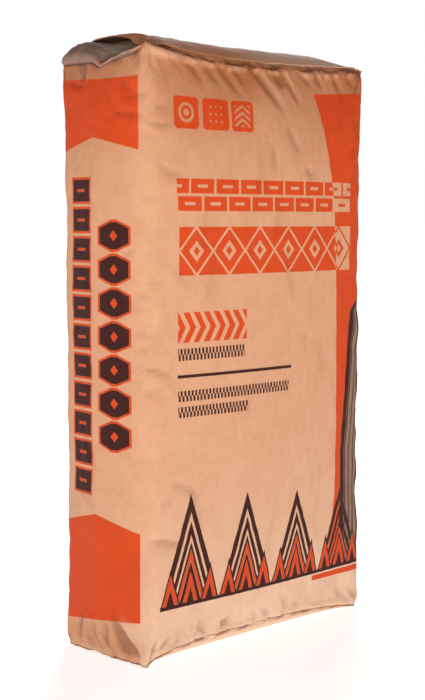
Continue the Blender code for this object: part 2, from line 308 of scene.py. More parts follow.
class SackValveSettings(bpy.types.PropertyGroup):
    """The flattened filling sleeve"""

    ply: FloatProperty(
        name="Ply", description="Thickness of the sleeve's paper",
        default=0.0006, unit="LENGTH")
    gape: FloatProperty(
        name="Gape", description="Height of the mouth at its widest",
        default=0.0074, unit="LENGTH")
    # Partly painted shade: darker than the other kraft, to shade the slope and the mouth at the valve
    sleeve_kraft: FloatVectorProperty(
        name="Sleeve Kraft", description="Colour of the sleeve's paper",
        subtype="COLOR", default=(0.270, 0.170, 0.120))
    grain_density: FloatProperty(
        name="Grain Density", description="Cement grains for each square metre round the mouth",
        default=150000.0)
    grain_radius: FloatProperty(
        name="Grain Radius", description="Of one cement grain",
        default=0.00032, unit="LENGTH")
    fibre_length: FloatProperty(
        name="Fibre Length", description="Of the torn fibres along cut edges",
        default=0.0016, unit="LENGTH")
    fibre_spacing: FloatProperty(
        name="Fibre Spacing", description="Along the cut edges",
        default=0.0022, unit="LENGTH")
    seed: IntProperty(name="Seed", description="Picks the places of the grains and fibres", default=5)


class SackStageSettings(bpy.types.PropertyGroup):
    """Floor, lights and camera"""

    view_azimuth: FloatProperty(
        name="View Azimuth", description="Direction in which the camera looks, from +Y",
        default=math.radians(-45.0), subtype="ANGLE")
    view_drop: FloatProperty(
        name="View Drop", description="How far below level the camera looks",
        default=math.radians(5.1), subtype="ANGLE")
    view_distance: FloatProperty(
        name="View Distance", description="From the camera to the middle of the sack",
        default=1.768, unit="LENGTH")
    view_height: FloatProperty(
        name="View Height", description="Of the point that the camera looks at",
        default=0.3406, unit="LENGTH")
    view_shift: FloatProperty(
        name="View Shift", description="Sideways, of the point that the camera looks at",
        default=-0.0082, unit="LENGTH")
    focal_length: FloatProperty(
        name="Focal Length", description="In millimetres, on a sensor 36 mm high",
        default=74.57)
    floor_colour: FloatVectorProperty(
        name="Floor", description="Colour of the floor",
        subtype="COLOR", default=(0.90, 0.90, 0.90))
    floor_glow: FloatProperty(
        name="Floor Glow", description="Light that comes up through the floor",
        default=0.62)
    key_light: FloatProperty(
        name="Key Light", description="Power of the soft light beside the camera",
        default=26.0, unit="POWER")
    fill_light: FloatProperty(
        name="Fill Light", description="Power of the soft light at the front right",
        default=4.5, unit="POWER")
    back_light: FloatProperty(
        name="Back Light", description="Power of the soft light behind the sack",
        default=8.0, unit="POWER")
    top_light: FloatProperty(
        name="Top Light", description="Power of the soft light above and behind the sack",
        default=42.0, unit="POWER")
    surroundings: FloatProperty(
        name="Surroundings", description="Strength of the light from all round",
        default=0.22)


# Values worked out from Math nodes

class Field:
    """A value over a surface: the output of nodes that are added as it is worked out."""

    def __init__(self, tree, socket):
        self.tree = tree
        self.socket = socket

    def math(self, operation, *others, clamp=False):
        node = self.tree.nodes.new("ShaderNodeMath")
        node.operation = operation
        node.use_clamp = clamp
        for socket, value in zip(node.inputs, (self, *others)):
            wire(self.tree, value, socket)
        return Field(self.tree, node.outputs[0])

    def __add__(self, other):
        return self.math("ADD", other)

    def __sub__(self, other):
        return self.math("SUBTRACT", other)

    def __mul__(self, other):
        return self.math("MULTIPLY", other)

    def __truediv__(self, other):
        return self.math("DIVIDE", other)

    def __pow__(self, other):
        return self.math("POWER", other)

    def __neg__(self):
        return self.math("MULTIPLY", -1.0)

    def __abs__(self):
        return self.math("ABSOLUTE")

    def __or__(self, other):
        return self.math("MAXIMUM", other)

    def __and__(self, other):
        return self.math("MINIMUM", other)

    def clamped(self):
        return self.math("ADD", 0.0, clamp=True)

    def cell(self, start, pitch):
        """Distance from the middle of the repeat that this value is in."""
        return ((self - start) / pitch).math("FRACT") * pitch - pitch / 2

    def flipped(self):
        return -self + 1.0


def wire(tree, value, socket):
    if isinstance(value, Field):
        tree.links.new(value.socket, socket)
    elif isinstance(value, bpy.types.NodeSocket):
        tree.links.new(value, socket)
    else:
        socket.default_value = value


def inked(distance):
    """Mask of the inside of an outline, from the distance outside it."""
    return (distance * (-1 / INK_SOFTNESS)).math("ADD", 0.5, clamp=True)


def bar(value, span):
    """Distance outside a span of a value."""
    low, high = span
    return abs(value - (low + high) / 2) - (high - low) / 2


def box_mask(u, h, spans):
    return inked(bar(u, spans[0]) | bar(h, spans[1]))


def new_group(name, inputs, outputs):
    """A shader node group with named sockets, and its input and output nodes."""
    tree = bpy.data.node_groups.new(name, "ShaderNodeTree")
    for socket_name, kind, default in inputs:
        socket = tree.interface.new_socket(socket_name, in_out="INPUT", socket_type=kind)
        if default is not None:
            socket.default_value = default
    for socket_name, kind in outputs:
        tree.interface.new_socket(socket_name, in_out="OUTPUT", socket_type=kind)
    return tree, tree.nodes.new("NodeGroupInput"), tree.nodes.new("NodeGroupOutput")


def place_group(tree, group, **values):
    """A group's node in a tree, with its inputs set or linked by name."""
    node = tree.nodes.new("ShaderNodeGroup")
    node.node_tree = group
    for name, value in values.items():
        wire(tree, value, node.inputs[name.replace("_", " ").capitalize()])
    return node


def noise_field(tree, vector, scale, detail=2.0, stretch=None):
    """Noise from 0 to 1, drawn out along an axis where stretch gives a factor for each axis."""
    if stretch is not None:
        node = tree.nodes.new("ShaderNodeVectorMath")
        node.operation = "MULTIPLY"
        wire(tree, vector, node.inputs[0])
        node.inputs[1].default_value = stretch
        vector = node.outputs[0]
    texture = tree.nodes.new("ShaderNodeTexNoise")
    texture.inputs["Scale"].default_value = scale
    texture.inputs["Detail"].default_value = detail
    wire(tree, vector, texture.inputs["Vector"])
    return Field(tree, texture.outputs["Fac"])


def blend_colour(tree, factor, first, second, mode="MIX"):
    node = tree.nodes.new("ShaderNodeMix")
    node.data_type = "RGBA"
    node.blend_type = mode
    wire(tree, factor, node.inputs[0])
    for socket, colour in ((node.inputs[6], first), (node.inputs[7], second)):
        wire(tree, colour if isinstance(colour, bpy.types.NodeSocket) else (*colour, 1.0), socket)
    return node.outputs[2]


# Effects that several papers share

def kraft_fibre_group():
    """Clouding, fibres and crepe of kraft paper."""
    tree, source, result = new_group(
        "kraft_fibre",
        (("Vector", "NodeSocketVector", None), ("Clouding", "NodeSocketFloat", 0.3),
         ("Fibres", "NodeSocketFloat", 0.3), ("Crepe", "NodeSocketFloat", 0.3)),
        (("Shade", "NodeSocketFloat"), ("Relief", "NodeSocketFloat")),
    )
    vector = source.outputs["Vector"]
    clouds = noise_field(tree, vector, 34.0, 4.0)
    patches = noise_field(tree, vector, 150.0, 3.0)
    fibres = noise_field(tree, vector, 900.0, 3.0, (1.0, 0.22, 1.0))
    specks = noise_field(tree, vector, 2600.0, 2.0)
    crepe = noise_field(tree, vector, 420.0, 3.0, (0.16, 1.0, 1.0))
    shade = (clouds * 0.65 + patches * 0.35 - 0.5) * Field(tree, source.outputs["Clouding"]) * 2.0
    streaks = (fibres * 0.6 + specks * 0.4 - 0.5) * Field(tree, source.outputs["Fibres"]) * 2.0
    tree.links.new((shade + streaks + 0.42).clamped().socket, result.inputs["Shade"])
    relief = fibres * 0.35 + specks * 0.25 + crepe * Field(tree, source.outputs["Crepe"]) + clouds * 0.4
    tree.links.new(relief.socket, result.inputs["Relief"])
    return tree


def fold_wear_and_shade_group():
    """Masks of worn ridges and of painted shade in valleys, from how far the paper was pressed in or out."""
    tree, source, result = new_group(
        "fold_wear_and_shade",
        (("Vector", "NodeSocketVector", None), ("Press", "NodeSocketFloat", 0.0)),
        (("Ridge", "NodeSocketFloat"), ("Valley", "NodeSocketFloat")),
    )
    press = Field(tree, source.outputs["Press"])
    breakup = noise_field(tree, source.outputs["Vector"], 260.0, 3.0) * 0.9 + 0.45
    tree.links.new((press * breakup).clamped().socket, result.inputs["Ridge"])
    tree.links.new((-press * breakup).clamped().socket, result.inputs["Valley"])
    return tree


def cement_dust_group():
    """Mask of thin cement dust, in patches and fine specks."""
    tree, source, result = new_group(
        "cement_dust",
        (("Vector", "NodeSocketVector", None), ("Amount", "NodeSocketFloat", 0.3)),
        (("Mask", "NodeSocketFloat"),),
    )
    vector = source.outputs["Vector"]
    patches = noise_field(tree, vector, 48.0, 4.0)
    specks = noise_field(tree, vector, 1300.0, 2.0)
    amount = Field(tree, source.outputs["Amount"])
    mask = (patches * 0.7 + specks * 0.3 + amount - 0.92) * 2.6
    tree.links.new(mask.clamped().socket, result.inputs["Mask"])
    return tree


def paper_creases_group():
    """Fine broken creases that run down to the right, as noise crosses its middle value."""
    tree, source, result = new_group(
        "paper_creases",
        (("Vector", "NodeSocketVector", None), ("Strength", "NodeSocketFloat", 0.3)),
        (("Line", "NodeSocketFloat"),),
    )
    turned = tree.nodes.new("ShaderNodeVectorRotate")
    turned.rotation_type = "Z_AXIS"
    turned.inputs["Angle"].default_value = math.radians(50)
    wire(tree, source.outputs["Vector"], turned.inputs["Vector"])
    wrinkles = noise_field(tree, turned.outputs["Vector"], 84.0, 2.0, (0.16, 1.0, 1.0))
    breakup = noise_field(tree, turned.outputs["Vector"], 40.0, 1.0, (0.5, 1.0, 1.0))
    line = (abs(wrinkles - 0.5) * -9.0 + 1.0).clamped() * ((breakup - 0.45) * 5.0).clamped()
    tree.links.new((line * Field(tree, source.outputs["Strength"])).socket, result.inputs["Line"])
    return tree


def effect(tree, name, build, **values):
    """A shared effect's node in a material; its group is built when it is first asked for."""
    return place_group(tree, bpy.data.node_groups.get(name) or build(), **values)


# Print

def tile_masks(u, h):
    """Three rounded orange tiles with plain figures cut out: a ring, a lattice and nested chevrons."""
    radius = 0.005
    low, high = TILE_HEIGHTS
    y = h - (low + high) / 2
    tiles, figures = None, None
    for index, (left, right) in enumerate(TILE_SPANS):
        x = u - (left + right) / 2
        beyond_x = (abs(x) - ((right - left) / 2 - radius)) | 0.0
        beyond_y = (abs(y) - ((high - low) / 2 - radius)) | 0.0
        tile = inked((beyond_x * beyond_x + beyond_y * beyond_y).math("SQRT") - radius)
        within = inked(abs(x) - 0.0125) & inked(abs(y) - 0.0125)
        if index == 0:
            reach = (x * x + y * y).math("SQRT")
            figure = inked(abs(reach - 0.0095) - 0.0018) | inked(reach - 0.0040)
        elif index == 1:
            figure = inked(-(abs(x.cell(0.0, 0.0083)) & abs(y.cell(0.0, 0.0083))) + 0.0030)
        else:
            figure = inked(abs((y + abs(x) * 0.7).cell(0.0, 0.0080)) - 0.0019)
        tiles = tile if tiles is None else tiles | tile
        cut = figure & within
        figures = cut if figures is None else figures | cut
    return tiles & figures.flipped()


def brick_mask(u, h):
    """Two courses of bricks in running bond."""
    (left, right), (low, high) = BRICK_ROW
    course = (high - low) / 2
    length = (right - left) / 8
    joint = 0.0016
    y = h.cell(low, course)
    odd = inked(-h + (low + course))
    x = (u + odd * (length / 2)).cell(left, length)
    brick = inked((abs(x) - (length / 2 - joint)) | (abs(y) - (course / 2 - joint)))
    frog = inked((abs(x) - length * 0.20) | (abs(y) - course * 0.09))
    return brick & frog.flipped() & box_mask(u, h, BRICK_ROW)


def lozenge_mask(u, h):
    """Interlocked lozenges with open middles, and the triangles between them."""
    (left, right), (low, high) = LOZENGE_ROW
    width = (right - left) / 6
    half_height = (high - low) / 2
    x = abs(u.cell(left, width))
    y = abs(h - (low + high) / 2)
    reach = (x / (width / 2) + y / half_height) * half_height
    ring = inked(abs(reach - half_height * 0.68) - half_height * 0.24)
    core = inked(reach - half_height * 0.20)
    between = inked(-reach + half_height * 1.07)
    return (ring | core | between) & box_mask(u, h, LOZENGE_ROW)


def chevron_mask(u, h):
    (left, right), (low, high) = CHEVRON_ROW
    y = abs(h - (low + high) / 2)
    x = (u + y * 0.62).cell(left, (right - left) / 7)
    return inked(abs(x) - 0.0043) & box_mask(u, h, CHEVRON_ROW)


def check_mask(u, h):
    """Rows of small checks."""
    rows = None
    for spans in CHECK_ROWS:
        low, high = spans[1]
        half = (high - low) / 2
        upper = inked(-h + (low + half))
        x = (u + upper * 0.0026).cell(spans[0][0], 0.0052)
        row = inked(abs(x) - 0.0014) & box_mask(u, h, spans)
        rows = row if rows is None else rows | row
    return rows


def band_masks(u, h):
    """Curved band along the right edge, and the dark taper that rises on it."""
    above = ((h - BAND_MIDDLE_HEIGHT) / BAND_SPREAD_UP).clamped() ** 4.0
    below = ((-h + BAND_MIDDLE_HEIGHT) / BAND_SPREAD_DOWN).clamped() ** 3.5
    edge = -(above * 0.043) - below * 0.026 + BAND_EDGE
    past_right = u - BAND_RIGHT
    reach = (edge - u) | past_right | (h - BAND_TOP - (u - 0.340) * 0.05) | (-h + BAND_FOOT)
    slant = (h - TAPER_KNEE[1]) * 0.114 + TAPER_KNEE[0]
    shoulder = (h - TAPER_KNEE[1]) * 1.20 + TAPER_KNEE[0]
    taper_edge = (slant | shoulder) | 0.393
    taper = (taper_edge - u) | past_right | (-h + 0.060)
    flutes = inked(abs((u - taper_edge).cell(0.0105, 0.0092)) - 0.0036) & inked(taper + 0.0085)
    return inked(reach), inked(taper), flutes


def frieze_masks(u, h):
    """Nested triangles in two rows on a dark ground line: dark lines, orange fields, bare paper."""
    (left, right), (low, high) = FRIEZE
    tall_pitch = (right - left) / 4
    small_pitch = tall_pitch / 3
    within = inked(bar(u, FRIEZE[0]))
    rise = h - low
    lean = -(u - left) * 0.10 + (high - low)
    tall = -(abs(u.cell(left, tall_pitch)) / (tall_pitch / 2)) + 1.0 - rise / lean
    tall = tall * (tall_pitch / 2)
    small = -(abs(u.cell(left, small_pitch)) / (small_pitch / 2)) + 1.0 - rise / 0.046
    small = small * (small_pitch / 2)
    lines = inked(abs(tall - 0.0036) - 0.0036) | inked(abs(tall - 0.0134) - 0.0026)
    lines = lines | inked(abs(tall - 0.0202) - 0.0014) | inked(-tall + 0.0262)
    fields = inked(abs(tall - 0.0232) - 0.0026)
    small_field = inked(-small + 0.0022)
    small_line = inked(-small) & inked(small - 0.0022)
    small_core = inked(-small + 0.0078)
    dark = (lines & small_field.flipped()) | small_line | small_core
    orange = (fields | small_field) & dark.flipped()
    ground = inked(bar(h, (low - 0.0012, low + 0.0034)))
    strip = inked(bar(h, (low - 0.011, low - 0.0035)) | (-u + 0.340))
    above = inked(-rise)
    return (orange & above | strip) & within, ((dark & above) | ground) & within


def side_masks(u, h):
    """Notched and peaked blocks, a chain of lozenges and a row of bars, all on the narrow panel."""
    off_crease = abs(u)
    across = off_crease - SIDE_BLOCK_HALF
    notch = -(off_crease * 0.24) + SIDE_NOTCH
    top = inked(across | (notch - h) | (h - SIDE_TOP + u * 0.049))
    crest = -(off_crease * 0.25) + SIDE_PEAK
    bottom = inked(across | (h - crest) | (-h + SIDE_FOOT + u * 0.119 - u * u * 0.16))
    half_chain = (SIDE_CHAIN[0][1] - SIDE_CHAIN[0][0]) / 2
    pitch = (SIDE_CHAIN[1][1] - SIDE_CHAIN[1][0]) / 7
    x = abs(u - sum(SIDE_CHAIN[0]) / 2)
    y = abs(h.cell(SIDE_CHAIN[1][0], pitch))
    cut = (x * 0.45 + y * 1.12 - 0.0218) | (x - half_chain) | (y - pitch / 2 + 0.0006)
    in_chain = inked(bar(h, SIDE_CHAIN[1]))
    chain_outline = inked(cut) & in_chain
    chain_dark = inked(cut + 0.0030) & in_chain & inked(-(x + y * 0.9) + 0.0054)
    half_bar = (SIDE_BARS[0][1] - SIDE_BARS[0][0]) / 2
    bar_pitch = (SIDE_BARS[1][1] - SIDE_BARS[1][0]) / 11
    bx = abs(u - sum(SIDE_BARS[0]) / 2)
    by = abs(h.cell(SIDE_BARS[1][0], bar_pitch))
    brick = (bx - half_bar) | (by - bar_pitch * 0.45)
    in_bars = inked(bar(h, SIDE_BARS[1]))
    bar_outline = inked(brick) & in_bars
    slot = inked((bx - half_bar * 0.40) | (by - 0.0017))
    bar_dark = inked(brick + 0.0026) & in_bars & slot.flipped()
    dark = chain_dark | bar_dark
    return top | bottom | ((chain_outline | bar_outline) & dark.flipped()), dark


def sack_print_group():
    """Masks of the orange and the dark ink, from a place on the tube."""
    tree, source, result = new_group(
        "sack_print",
        (("Girth", "NodeSocketFloat", 0.0), ("Height", "NodeSocketFloat", 0.0)),
        (("Orange", "NodeSocketFloat"), ("Dark", "NodeSocketFloat"), ("Thin", "NodeSocketFloat")),
    )
    girth = Field(tree, source.outputs["Girth"])
    h = Field(tree, source.outputs["Height"])
    u = ((girth + HALF_END) / REPEAT).math("FRACT") * REPEAT - HALF_END
    band, taper, flutes = band_masks(u, h)
    headings = brick_mask(u, h) | lozenge_mask(u, h)
    in_headings = box_mask(u, h, HEADINGS_ON_BAND)
    reversed_part = headings & band
    orange = tile_masks(u, h) | chevron_mask(u, h) | (headings & band.flipped())
    orange = orange | (band & reversed_part.flipped())
    side_orange, side_dark = side_masks(u, h)
    frieze_orange, frieze_dark = frieze_masks(u, h)
    dark = inked(bar(u, RULE[0]) | bar(h, RULE[1])) | check_mask(u, h) | side_dark
    on_panel = taper & in_headings.flipped()
    frieze_any = frieze_orange | frieze_dark
    dark = dark | (on_panel & frieze_orange.flipped()) | frieze_dark
    orange = (orange | side_orange | frieze_orange) & dark.flipped()
    tree.links.new(orange.socket, result.inputs["Orange"])
    tree.links.new(dark.socket, result.inputs["Dark"])
    thin = flutes & on_panel & frieze_any.flipped()
    tree.links.new(thin.socket, result.inputs["Thin"])
    return tree


# Papers

def new_material(name, roughness):
    material = bpy.data.materials.new(name)
    material.use_nodes = True
    shader = material.node_tree.nodes["Principled BSDF"]
    shader.inputs["Metallic"].default_value = 0.0
    shader.inputs["Roughness"].default_value = roughness
    shader.inputs["Specular IOR Level"].default_value = 0.10
    return material, material.node_tree, shader


def attribute_field(tree, name):
    node = tree.nodes.new("ShaderNodeAttribute")
    node.attribute_name = name
    return Field(tree, node.outputs["Fac"])


def bump(tree, shader, height, distance):
    node = tree.nodes.new("ShaderNodeBump")
    node.inputs["Distance"].default_value = distance
    node.inputs["Strength"].default_value = 1.0
    wire(tree, height, node.inputs["Height"])
    tree.links.new(node.outputs["Normal"], shader.inputs["Normal"])


def printed_kraft(paper):
    """The tube's paper: kraft with orange and dark ink, worn along its folds and dusty at the valve, with
    painted shade in its folds and near the top and painted light towards the floor.
    """
    material, tree, shader = new_material("printed_kraft", 0.78)
    place = tree.nodes.new("ShaderNodeUVMap")
    place.uv_map = "paper"
    uv = place.outputs["UV"]
    across = tree.nodes.new("ShaderNodeSeparateXYZ")
    tree.links.new(uv, across.inputs["Vector"])
    girth = Field(tree, across.outputs["X"]) + (noise_field(tree, uv, 620.0, 2.0) - 0.5) * INK_WOBBLE
    height = Field(tree, across.outputs["Y"]) + (noise_field(tree, uv, 700.0, 2.0) - 0.5) * INK_WOBBLE

    fibre = effect(
        tree, "kraft_fibre", kraft_fibre_group, vector=uv, clouding=0.44, fibres=0.46, crepe=0.6)
    wear_and_shade = effect(
        tree, "fold_wear_and_shade", fold_wear_and_shade_group, vector=uv, press=attribute_field(tree, "press"))
    dust = effect(
        tree, "cement_dust", cement_dust_group, vector=uv, amount=attribute_field(tree, "dust"))
    creases = effect(
        tree, "paper_creases", paper_creases_group,
        vector=uv, strength=attribute_field(tree, "liveliness"))
    masks = place_group(tree, sack_print_group(), girth=girth, height=height - PRINT_RAISE).outputs
    shade = Field(tree, fibre.outputs["Shade"])
    ridge = Field(tree, wear_and_shade.outputs["Ridge"])
    valley = Field(tree, wear_and_shade.outputs["Valley"])
    line = Field(tree, creases.outputs["Line"])
    painted_shade = attribute_field(tree, "painted_shade")
    coverage = noise_field(tree, uv, 1500.0, 2.0) * 0.30 + 0.84
    worn = (ridge * -0.5 + 1.0).clamped()
    orange = (Field(tree, masks["Orange"]) * coverage).clamped() * worn
    dark = (Field(tree, masks["Dark"]) * (coverage + 0.16)).clamped() * worn
    ink = blend_colour(tree, shade * 0.7, paper.orange_ink, SHADED_INK)

    colour = blend_colour(tree, shade, paper.kraft, paper.kraft_shade)
    for factor, tone, mode in (
        # Painted light towards the floor, and the pale base
        (attribute_field(tree, "paleness"), paper.pale_kraft, "MIX"),
        # Painted shade near the top fold lines and at the foot of the side
        (painted_shade, paper.shaded_kraft, "MIX"),
        (ridge * 0.35, WORN_PRINTED, "MIX"),
        (orange, ink, "MIX"),
        (dark, paper.dark_ink, "MIX"),
        (Field(tree, masks["Thin"]) * 0.62, THIN_INK, "MIX"),
        # Painted shade in the valleys of folds and in the fold-line grooves
        (valley * 0.85, CREASE_SHADE_PRINTED, "MIX"),
        (Field(tree, dust.outputs["Mask"]) * 0.75, paper.dust, "MIX"),
        # More painted shade, as a darker tint over the same places
        (painted_shade * 0.5, TOP_SHADE_TINT, "MULTIPLY"),
        # Painted shade along the fine crease lines
        (line * 0.25, CREASE_SHADE_TINT, "MULTIPLY"),
    ):
        colour = blend_colour(tree, factor, colour, tone, mode)
    tree.links.new(colour, shader.inputs["Base Color"])
    inks = Field(tree, masks["Orange"]) | Field(tree, masks["Dark"])
    tree.links.new((shade * 0.14 + 0.70 - inks * 0.16).socket, shader.inputs["Roughness"])
    bump(tree, shader, Field(tree, fibre.outputs["Relief"]) + inks * 0.10 + line * 1.5, 0.00034)
    return material


def plain_kraft(name, colour, paper, dusty):
    """Unprinted kraft paper, with dust where dusty is high and painted shade where it is pressed in."""
    material, tree, shader = new_material(name, 0.82)
    vector = tree.nodes.new("ShaderNodeTexCoord").outputs["Object"]
    fibre = effect(
        tree, "kraft_fibre", kraft_fibre_group, vector=vector, clouding=0.38, fibres=0.45, crepe=0.45)
    wear_and_shade = effect(
        tree, "fold_wear_and_shade", fold_wear_and_shade_group, vector=vector, press=attribute_field(tree, "press"))
    dust = effect(
        tree, "cement_dust", cement_dust_group,
        vector=vector, amount=attribute_field(tree, "dust") + dusty)
    creases = effect(tree, "paper_creases", paper_creases_group, vector=vector, strength=0.7)
    shade = Field(tree, fibre.outputs["Shade"])
    blended = blend_colour(tree, shade, colour, tuple(0.55 * channel for channel in colour))
    for factor, tone in (
        # Painted light towards the far end of the top sheet, and the pale bottom sheet
        (attribute_field(tree, "paleness"), paper.pale_kraft),
        (Field(tree, wear_and_shade.outputs["Ridge"]) * 0.35, WORN_PLAIN),
        # Painted shade in pressed-in places, such as the valve's mouth
        (Field(tree, wear_and_shade.outputs["Valley"]) * 0.60, CREASE_SHADE_PLAIN),
        (Field(tree, dust.outputs["Mask"]) * 0.85, paper.dust),
    ):
        blended = blend_colour(tree, factor, blended, tone)
    tree.links.new(blended, shader.inputs["Base Color"])
    tree.links.new((shade * 0.12 + 0.76).socket, shader.inputs["Roughness"])
    bump(tree, shader, Field(tree, fibre.outputs["Relief"]) + Field(tree, creases.outputs["Line"]), 0.00040)
    return material


def mottled_material(name, roughness, colours, tone_scale, relief):
    """For small things that differ a little from each other; relief is its scale, detail and depth."""
    material, tree, shader = new_material(name, roughness)
    vector = tree.nodes.new("ShaderNodeTexCoord").outputs["Object"]
    blended = blend_colour(tree, noise_field(tree, vector, tone_scale, 1.0), *colours)
    tree.links.new(blended, shader.inputs["Base Color"])
    scale, detail, depth = relief
    bump(tree, shader, noise_field(tree, vector, scale, detail), depth)
    return material


# Shape of the tube

class Section:
    """A quarter of the girth at one height: bowed front, corner and bowed side, as three arcs."""

    def __init__(self, half_width, half_depth, corner_radius, front_bow, side_bow, crease_angle):
        front_radius = (half_width**2 + front_bow**2) / (2 * front_bow)
        side_radius = (half_depth**2 + side_bow**2) / (2 * side_bow)
        lean = Vector((math.cos(crease_angle), math.sin(crease_angle)))
        front_centre = Vector((0.0, front_radius - half_depth))
        side_centre = Vector((-half_width, 0.0)) + lean * side_radius
        apart = side_centre - front_centre
        along = apart.normalized()
        outward = Vector((along.y, -along.x))
        front_reach = front_radius - corner_radius
        side_reach = side_radius - corner_radius
        run = (front_reach**2 - side_reach**2 + apart.length_squared) / (2 * apart.length)
        rise = math.sqrt(max(front_reach**2 - run**2, 0.0))
        corner_centre = front_centre + along * run + outward * rise
        to_front = front_centre - corner_centre
        to_side = side_centre - corner_centre
        front_angle = math.atan2(to_front.x, to_front.y)
        side_angle = math.atan2(to_side.y, to_side.x)
        turn = math.pi / 2 - front_angle - side_angle
        self.centres = np.array((front_centre, corner_centre, side_centre))
        self.radii = np.array((front_radius, corner_radius, side_radius))
        self.lengths = np.array((
            front_radius * front_angle,
            corner_radius * turn,
            side_radius * (side_angle - crease_angle),
        ))
        self.first_angles = np.array((0.0, front_angle, front_angle + turn))
        self.length = self.lengths.sum()

    def points(self, shares):
        """Distances to the left and to the front at shares of the way from the front's middle."""
        runs = np.asarray(shares) * self.length
        ends = np.cumsum(self.lengths)
        arc = np.clip(np.searchsorted(ends, runs), 0, 2)
        starts = ends - self.lengths
        angles = self.first_angles[arc] + (runs - starts[arc]) / self.radii[arc]
        left = self.radii[arc] * np.sin(angles) - self.centres[arc, 0]
        front = self.radii[arc] * np.cos(angles) - self.centres[arc, 1]
        return left, front


def section_at(paper, fullness):
    """The section whose width makes its girth the tube's, from folded (0) to full (1)."""
    shape = (
        mix(2 * HALF_END, paper.belly_depth, fullness) / 2,
        mix(FOLD_RADIUS, paper.corner_radius, fullness),
        mix(FOLD_BOW, paper.front_bow, fullness),
        mix(FOLD_BOW, paper.side_bow, fullness),
        paper.crease_angle * fullness,
    )
    narrow, wide = HALF_END, QUARTER_GIRTH
    for _ in range(40):
        half_width = (narrow + wide) / 2
        section = Section(half_width, *shape)
        if section.length > QUARTER_GIRTH:
            wide = half_width
        else:
            narrow = half_width
    return section


def round_the_tube(section, girths):
    """Points in plan at girths measured from the crease at the valve end."""
    quarter = np.floor(girths / QUARTER_GIRTH).astype(int) % 4
    run = girths % QUARTER_GIRTH
    from_middle = np.where(quarter % 2 == 0, QUARTER_GIRTH - run, run)
    left, front = section.points(from_middle / QUARTER_GIRTH)
    x = np.where((quarter == 0) | (quarter == 3), -left, left)
    y = np.where(quarter < 2, -front, front)
    return x, y


def fullness_at(paper, height_share):
    return 1 - np.abs(2 * height_share - 1) ** paper.fullness_power


def row_step(heights):
    """Distance between the wall's rows: closest at the fold lines, wider away from both ends."""
    from_top = WALL_HEIGHT - heights
    near = np.minimum(0.0008 + 0.14 * np.minimum(from_top, heights), 0.0023)
    return near + 0.0023 * ease(np.minimum((from_top - 0.095) / 0.03, (heights - 0.055) / 0.03))


def wall_heights():
    fine = np.linspace(0.0, WALL_HEIGHT, 4001)
    density = 1 / row_step(fine)
    passed = np.concatenate(([0.0], np.cumsum((density[1:] + density[:-1]) / 2 * np.diff(fine))))
    rows = math.ceil(passed[-1])
    return np.interp(np.arange(rows + 1) / rows * passed[-1], passed, fine)


def graded(length, finest, widest, growth):
    """Places along a length, close together at its ends and wider apart towards its middle."""
    steps = [finest]
    while steps[-1] * growth < widest:
        steps.append(steps[-1] * growth)
    middle = length - 2 * sum(steps)
    count = math.ceil(middle / widest)
    return np.concatenate(([0.0], np.cumsum(steps + [middle / count] * count + steps[::-1])))


def snapped(places, marks):
    """The places, with the nearest one to each mark moved onto it."""
    for mark in marks:
        places[np.argmin(np.abs(places - mark))] = mark
    return places


class Layout:
    """How the tube's points are numbered: rows up the wall, then the inner points of both ends."""

    def __init__(self):
        self.heights = wall_heights()
        marks = (MOUTH, LIP_END, VALVE_HIGH.x, -FAR_EDGE, FAR_EDGE, SEAM_ALONG, SEAM_ALONG + CUT_EDGE)
        self.alongs = snapped(graded(2 * HALF_PANEL, 0.0006, 0.0029, 1.18) - HALF_PANEL, marks)
        marks = (VALVE_LOW.y, VALVE_HIGH.y, SHEET_FRONT, SHEET_BACK)
        self.acrosses = snapped(graded(2 * HALF_END, 0.0006, 0.0031, 1.18) - HALF_END, marks)
        front = NEAR_CORNER + (self.alongs[:-1] + HALF_PANEL)
        right = RIGHT_CORNER + (self.acrosses[:-1] + HALF_END)
        back = BACK_RIGHT_CORNER + (HALF_PANEL - self.alongs[:0:-1])
        left = BACK_LEFT_CORNER + (HALF_END - self.acrosses[:0:-1])
        self.girths = np.concatenate((front, right, back, left))
        rows, columns = len(self.heights), len(self.girths)
        self.wall = np.arange(rows * columns).reshape(rows, columns)
        along_count, across_count = len(self.alongs), len(self.acrosses)
        around = [(a, 0) for a in range(along_count - 1)]
        around += [(along_count - 1, b) for b in range(across_count - 1)]
        around += [(a, across_count - 1) for a in range(along_count - 1, 0, -1)]
        around += [(0, b) for b in range(across_count - 1, 0, -1)]
        self.around = np.array(around)
        inner = (along_count - 2) * (across_count - 2)
        self.bottom = self.end_numbers(self.wall[0], self.wall.size)
        self.top = self.end_numbers(self.wall[-1], self.wall.size + inner)
        self.count = self.wall.size + 2 * inner

    def end_numbers(self, ring, first):
        numbers = np.empty((len(self.alongs), len(self.acrosses)), int)
        inner_shape = (len(self.alongs) - 2, len(self.acrosses) - 2)
        numbers[1:-1, 1:-1] = first + np.arange(inner_shape[0] * inner_shape[1]).reshape(inner_shape)
        numbers[self.around[:, 0], self.around[:, 1]] = ring
        return numbers

    def plan(self):
        """Along and across of every point of an end."""
        return np.meshgrid(self.alongs, self.acrosses, indexing="ij")

    def plan_of_ring(self):
        """Along and across of the ring's points before the paper bows."""
        return self.alongs[self.around[:, 0]], self.acrosses[self.around[:, 1]]


def rounding(distance, spread):
    """Share of its full rise that a rounded edge has at a distance in from its fold line."""
    share = np.clip(distance / spread, 0.0, 1.0)
    return np.sqrt(1 - (1 - share) ** 2)


def sloping(distance, spread):
    """Like rounding, but it leaves the fold line as a slope."""
    return 1 - (1 - np.clip(distance / spread, 0.0, 1.0)) ** 2


def top_sag(along, across):
    """How far the front and back fold lines sag towards their middles."""
    s = along / HALF_PANEL
    t = across / HALF_END
    return TOP_FOLD_SAG * (1 - s**2) * t**2


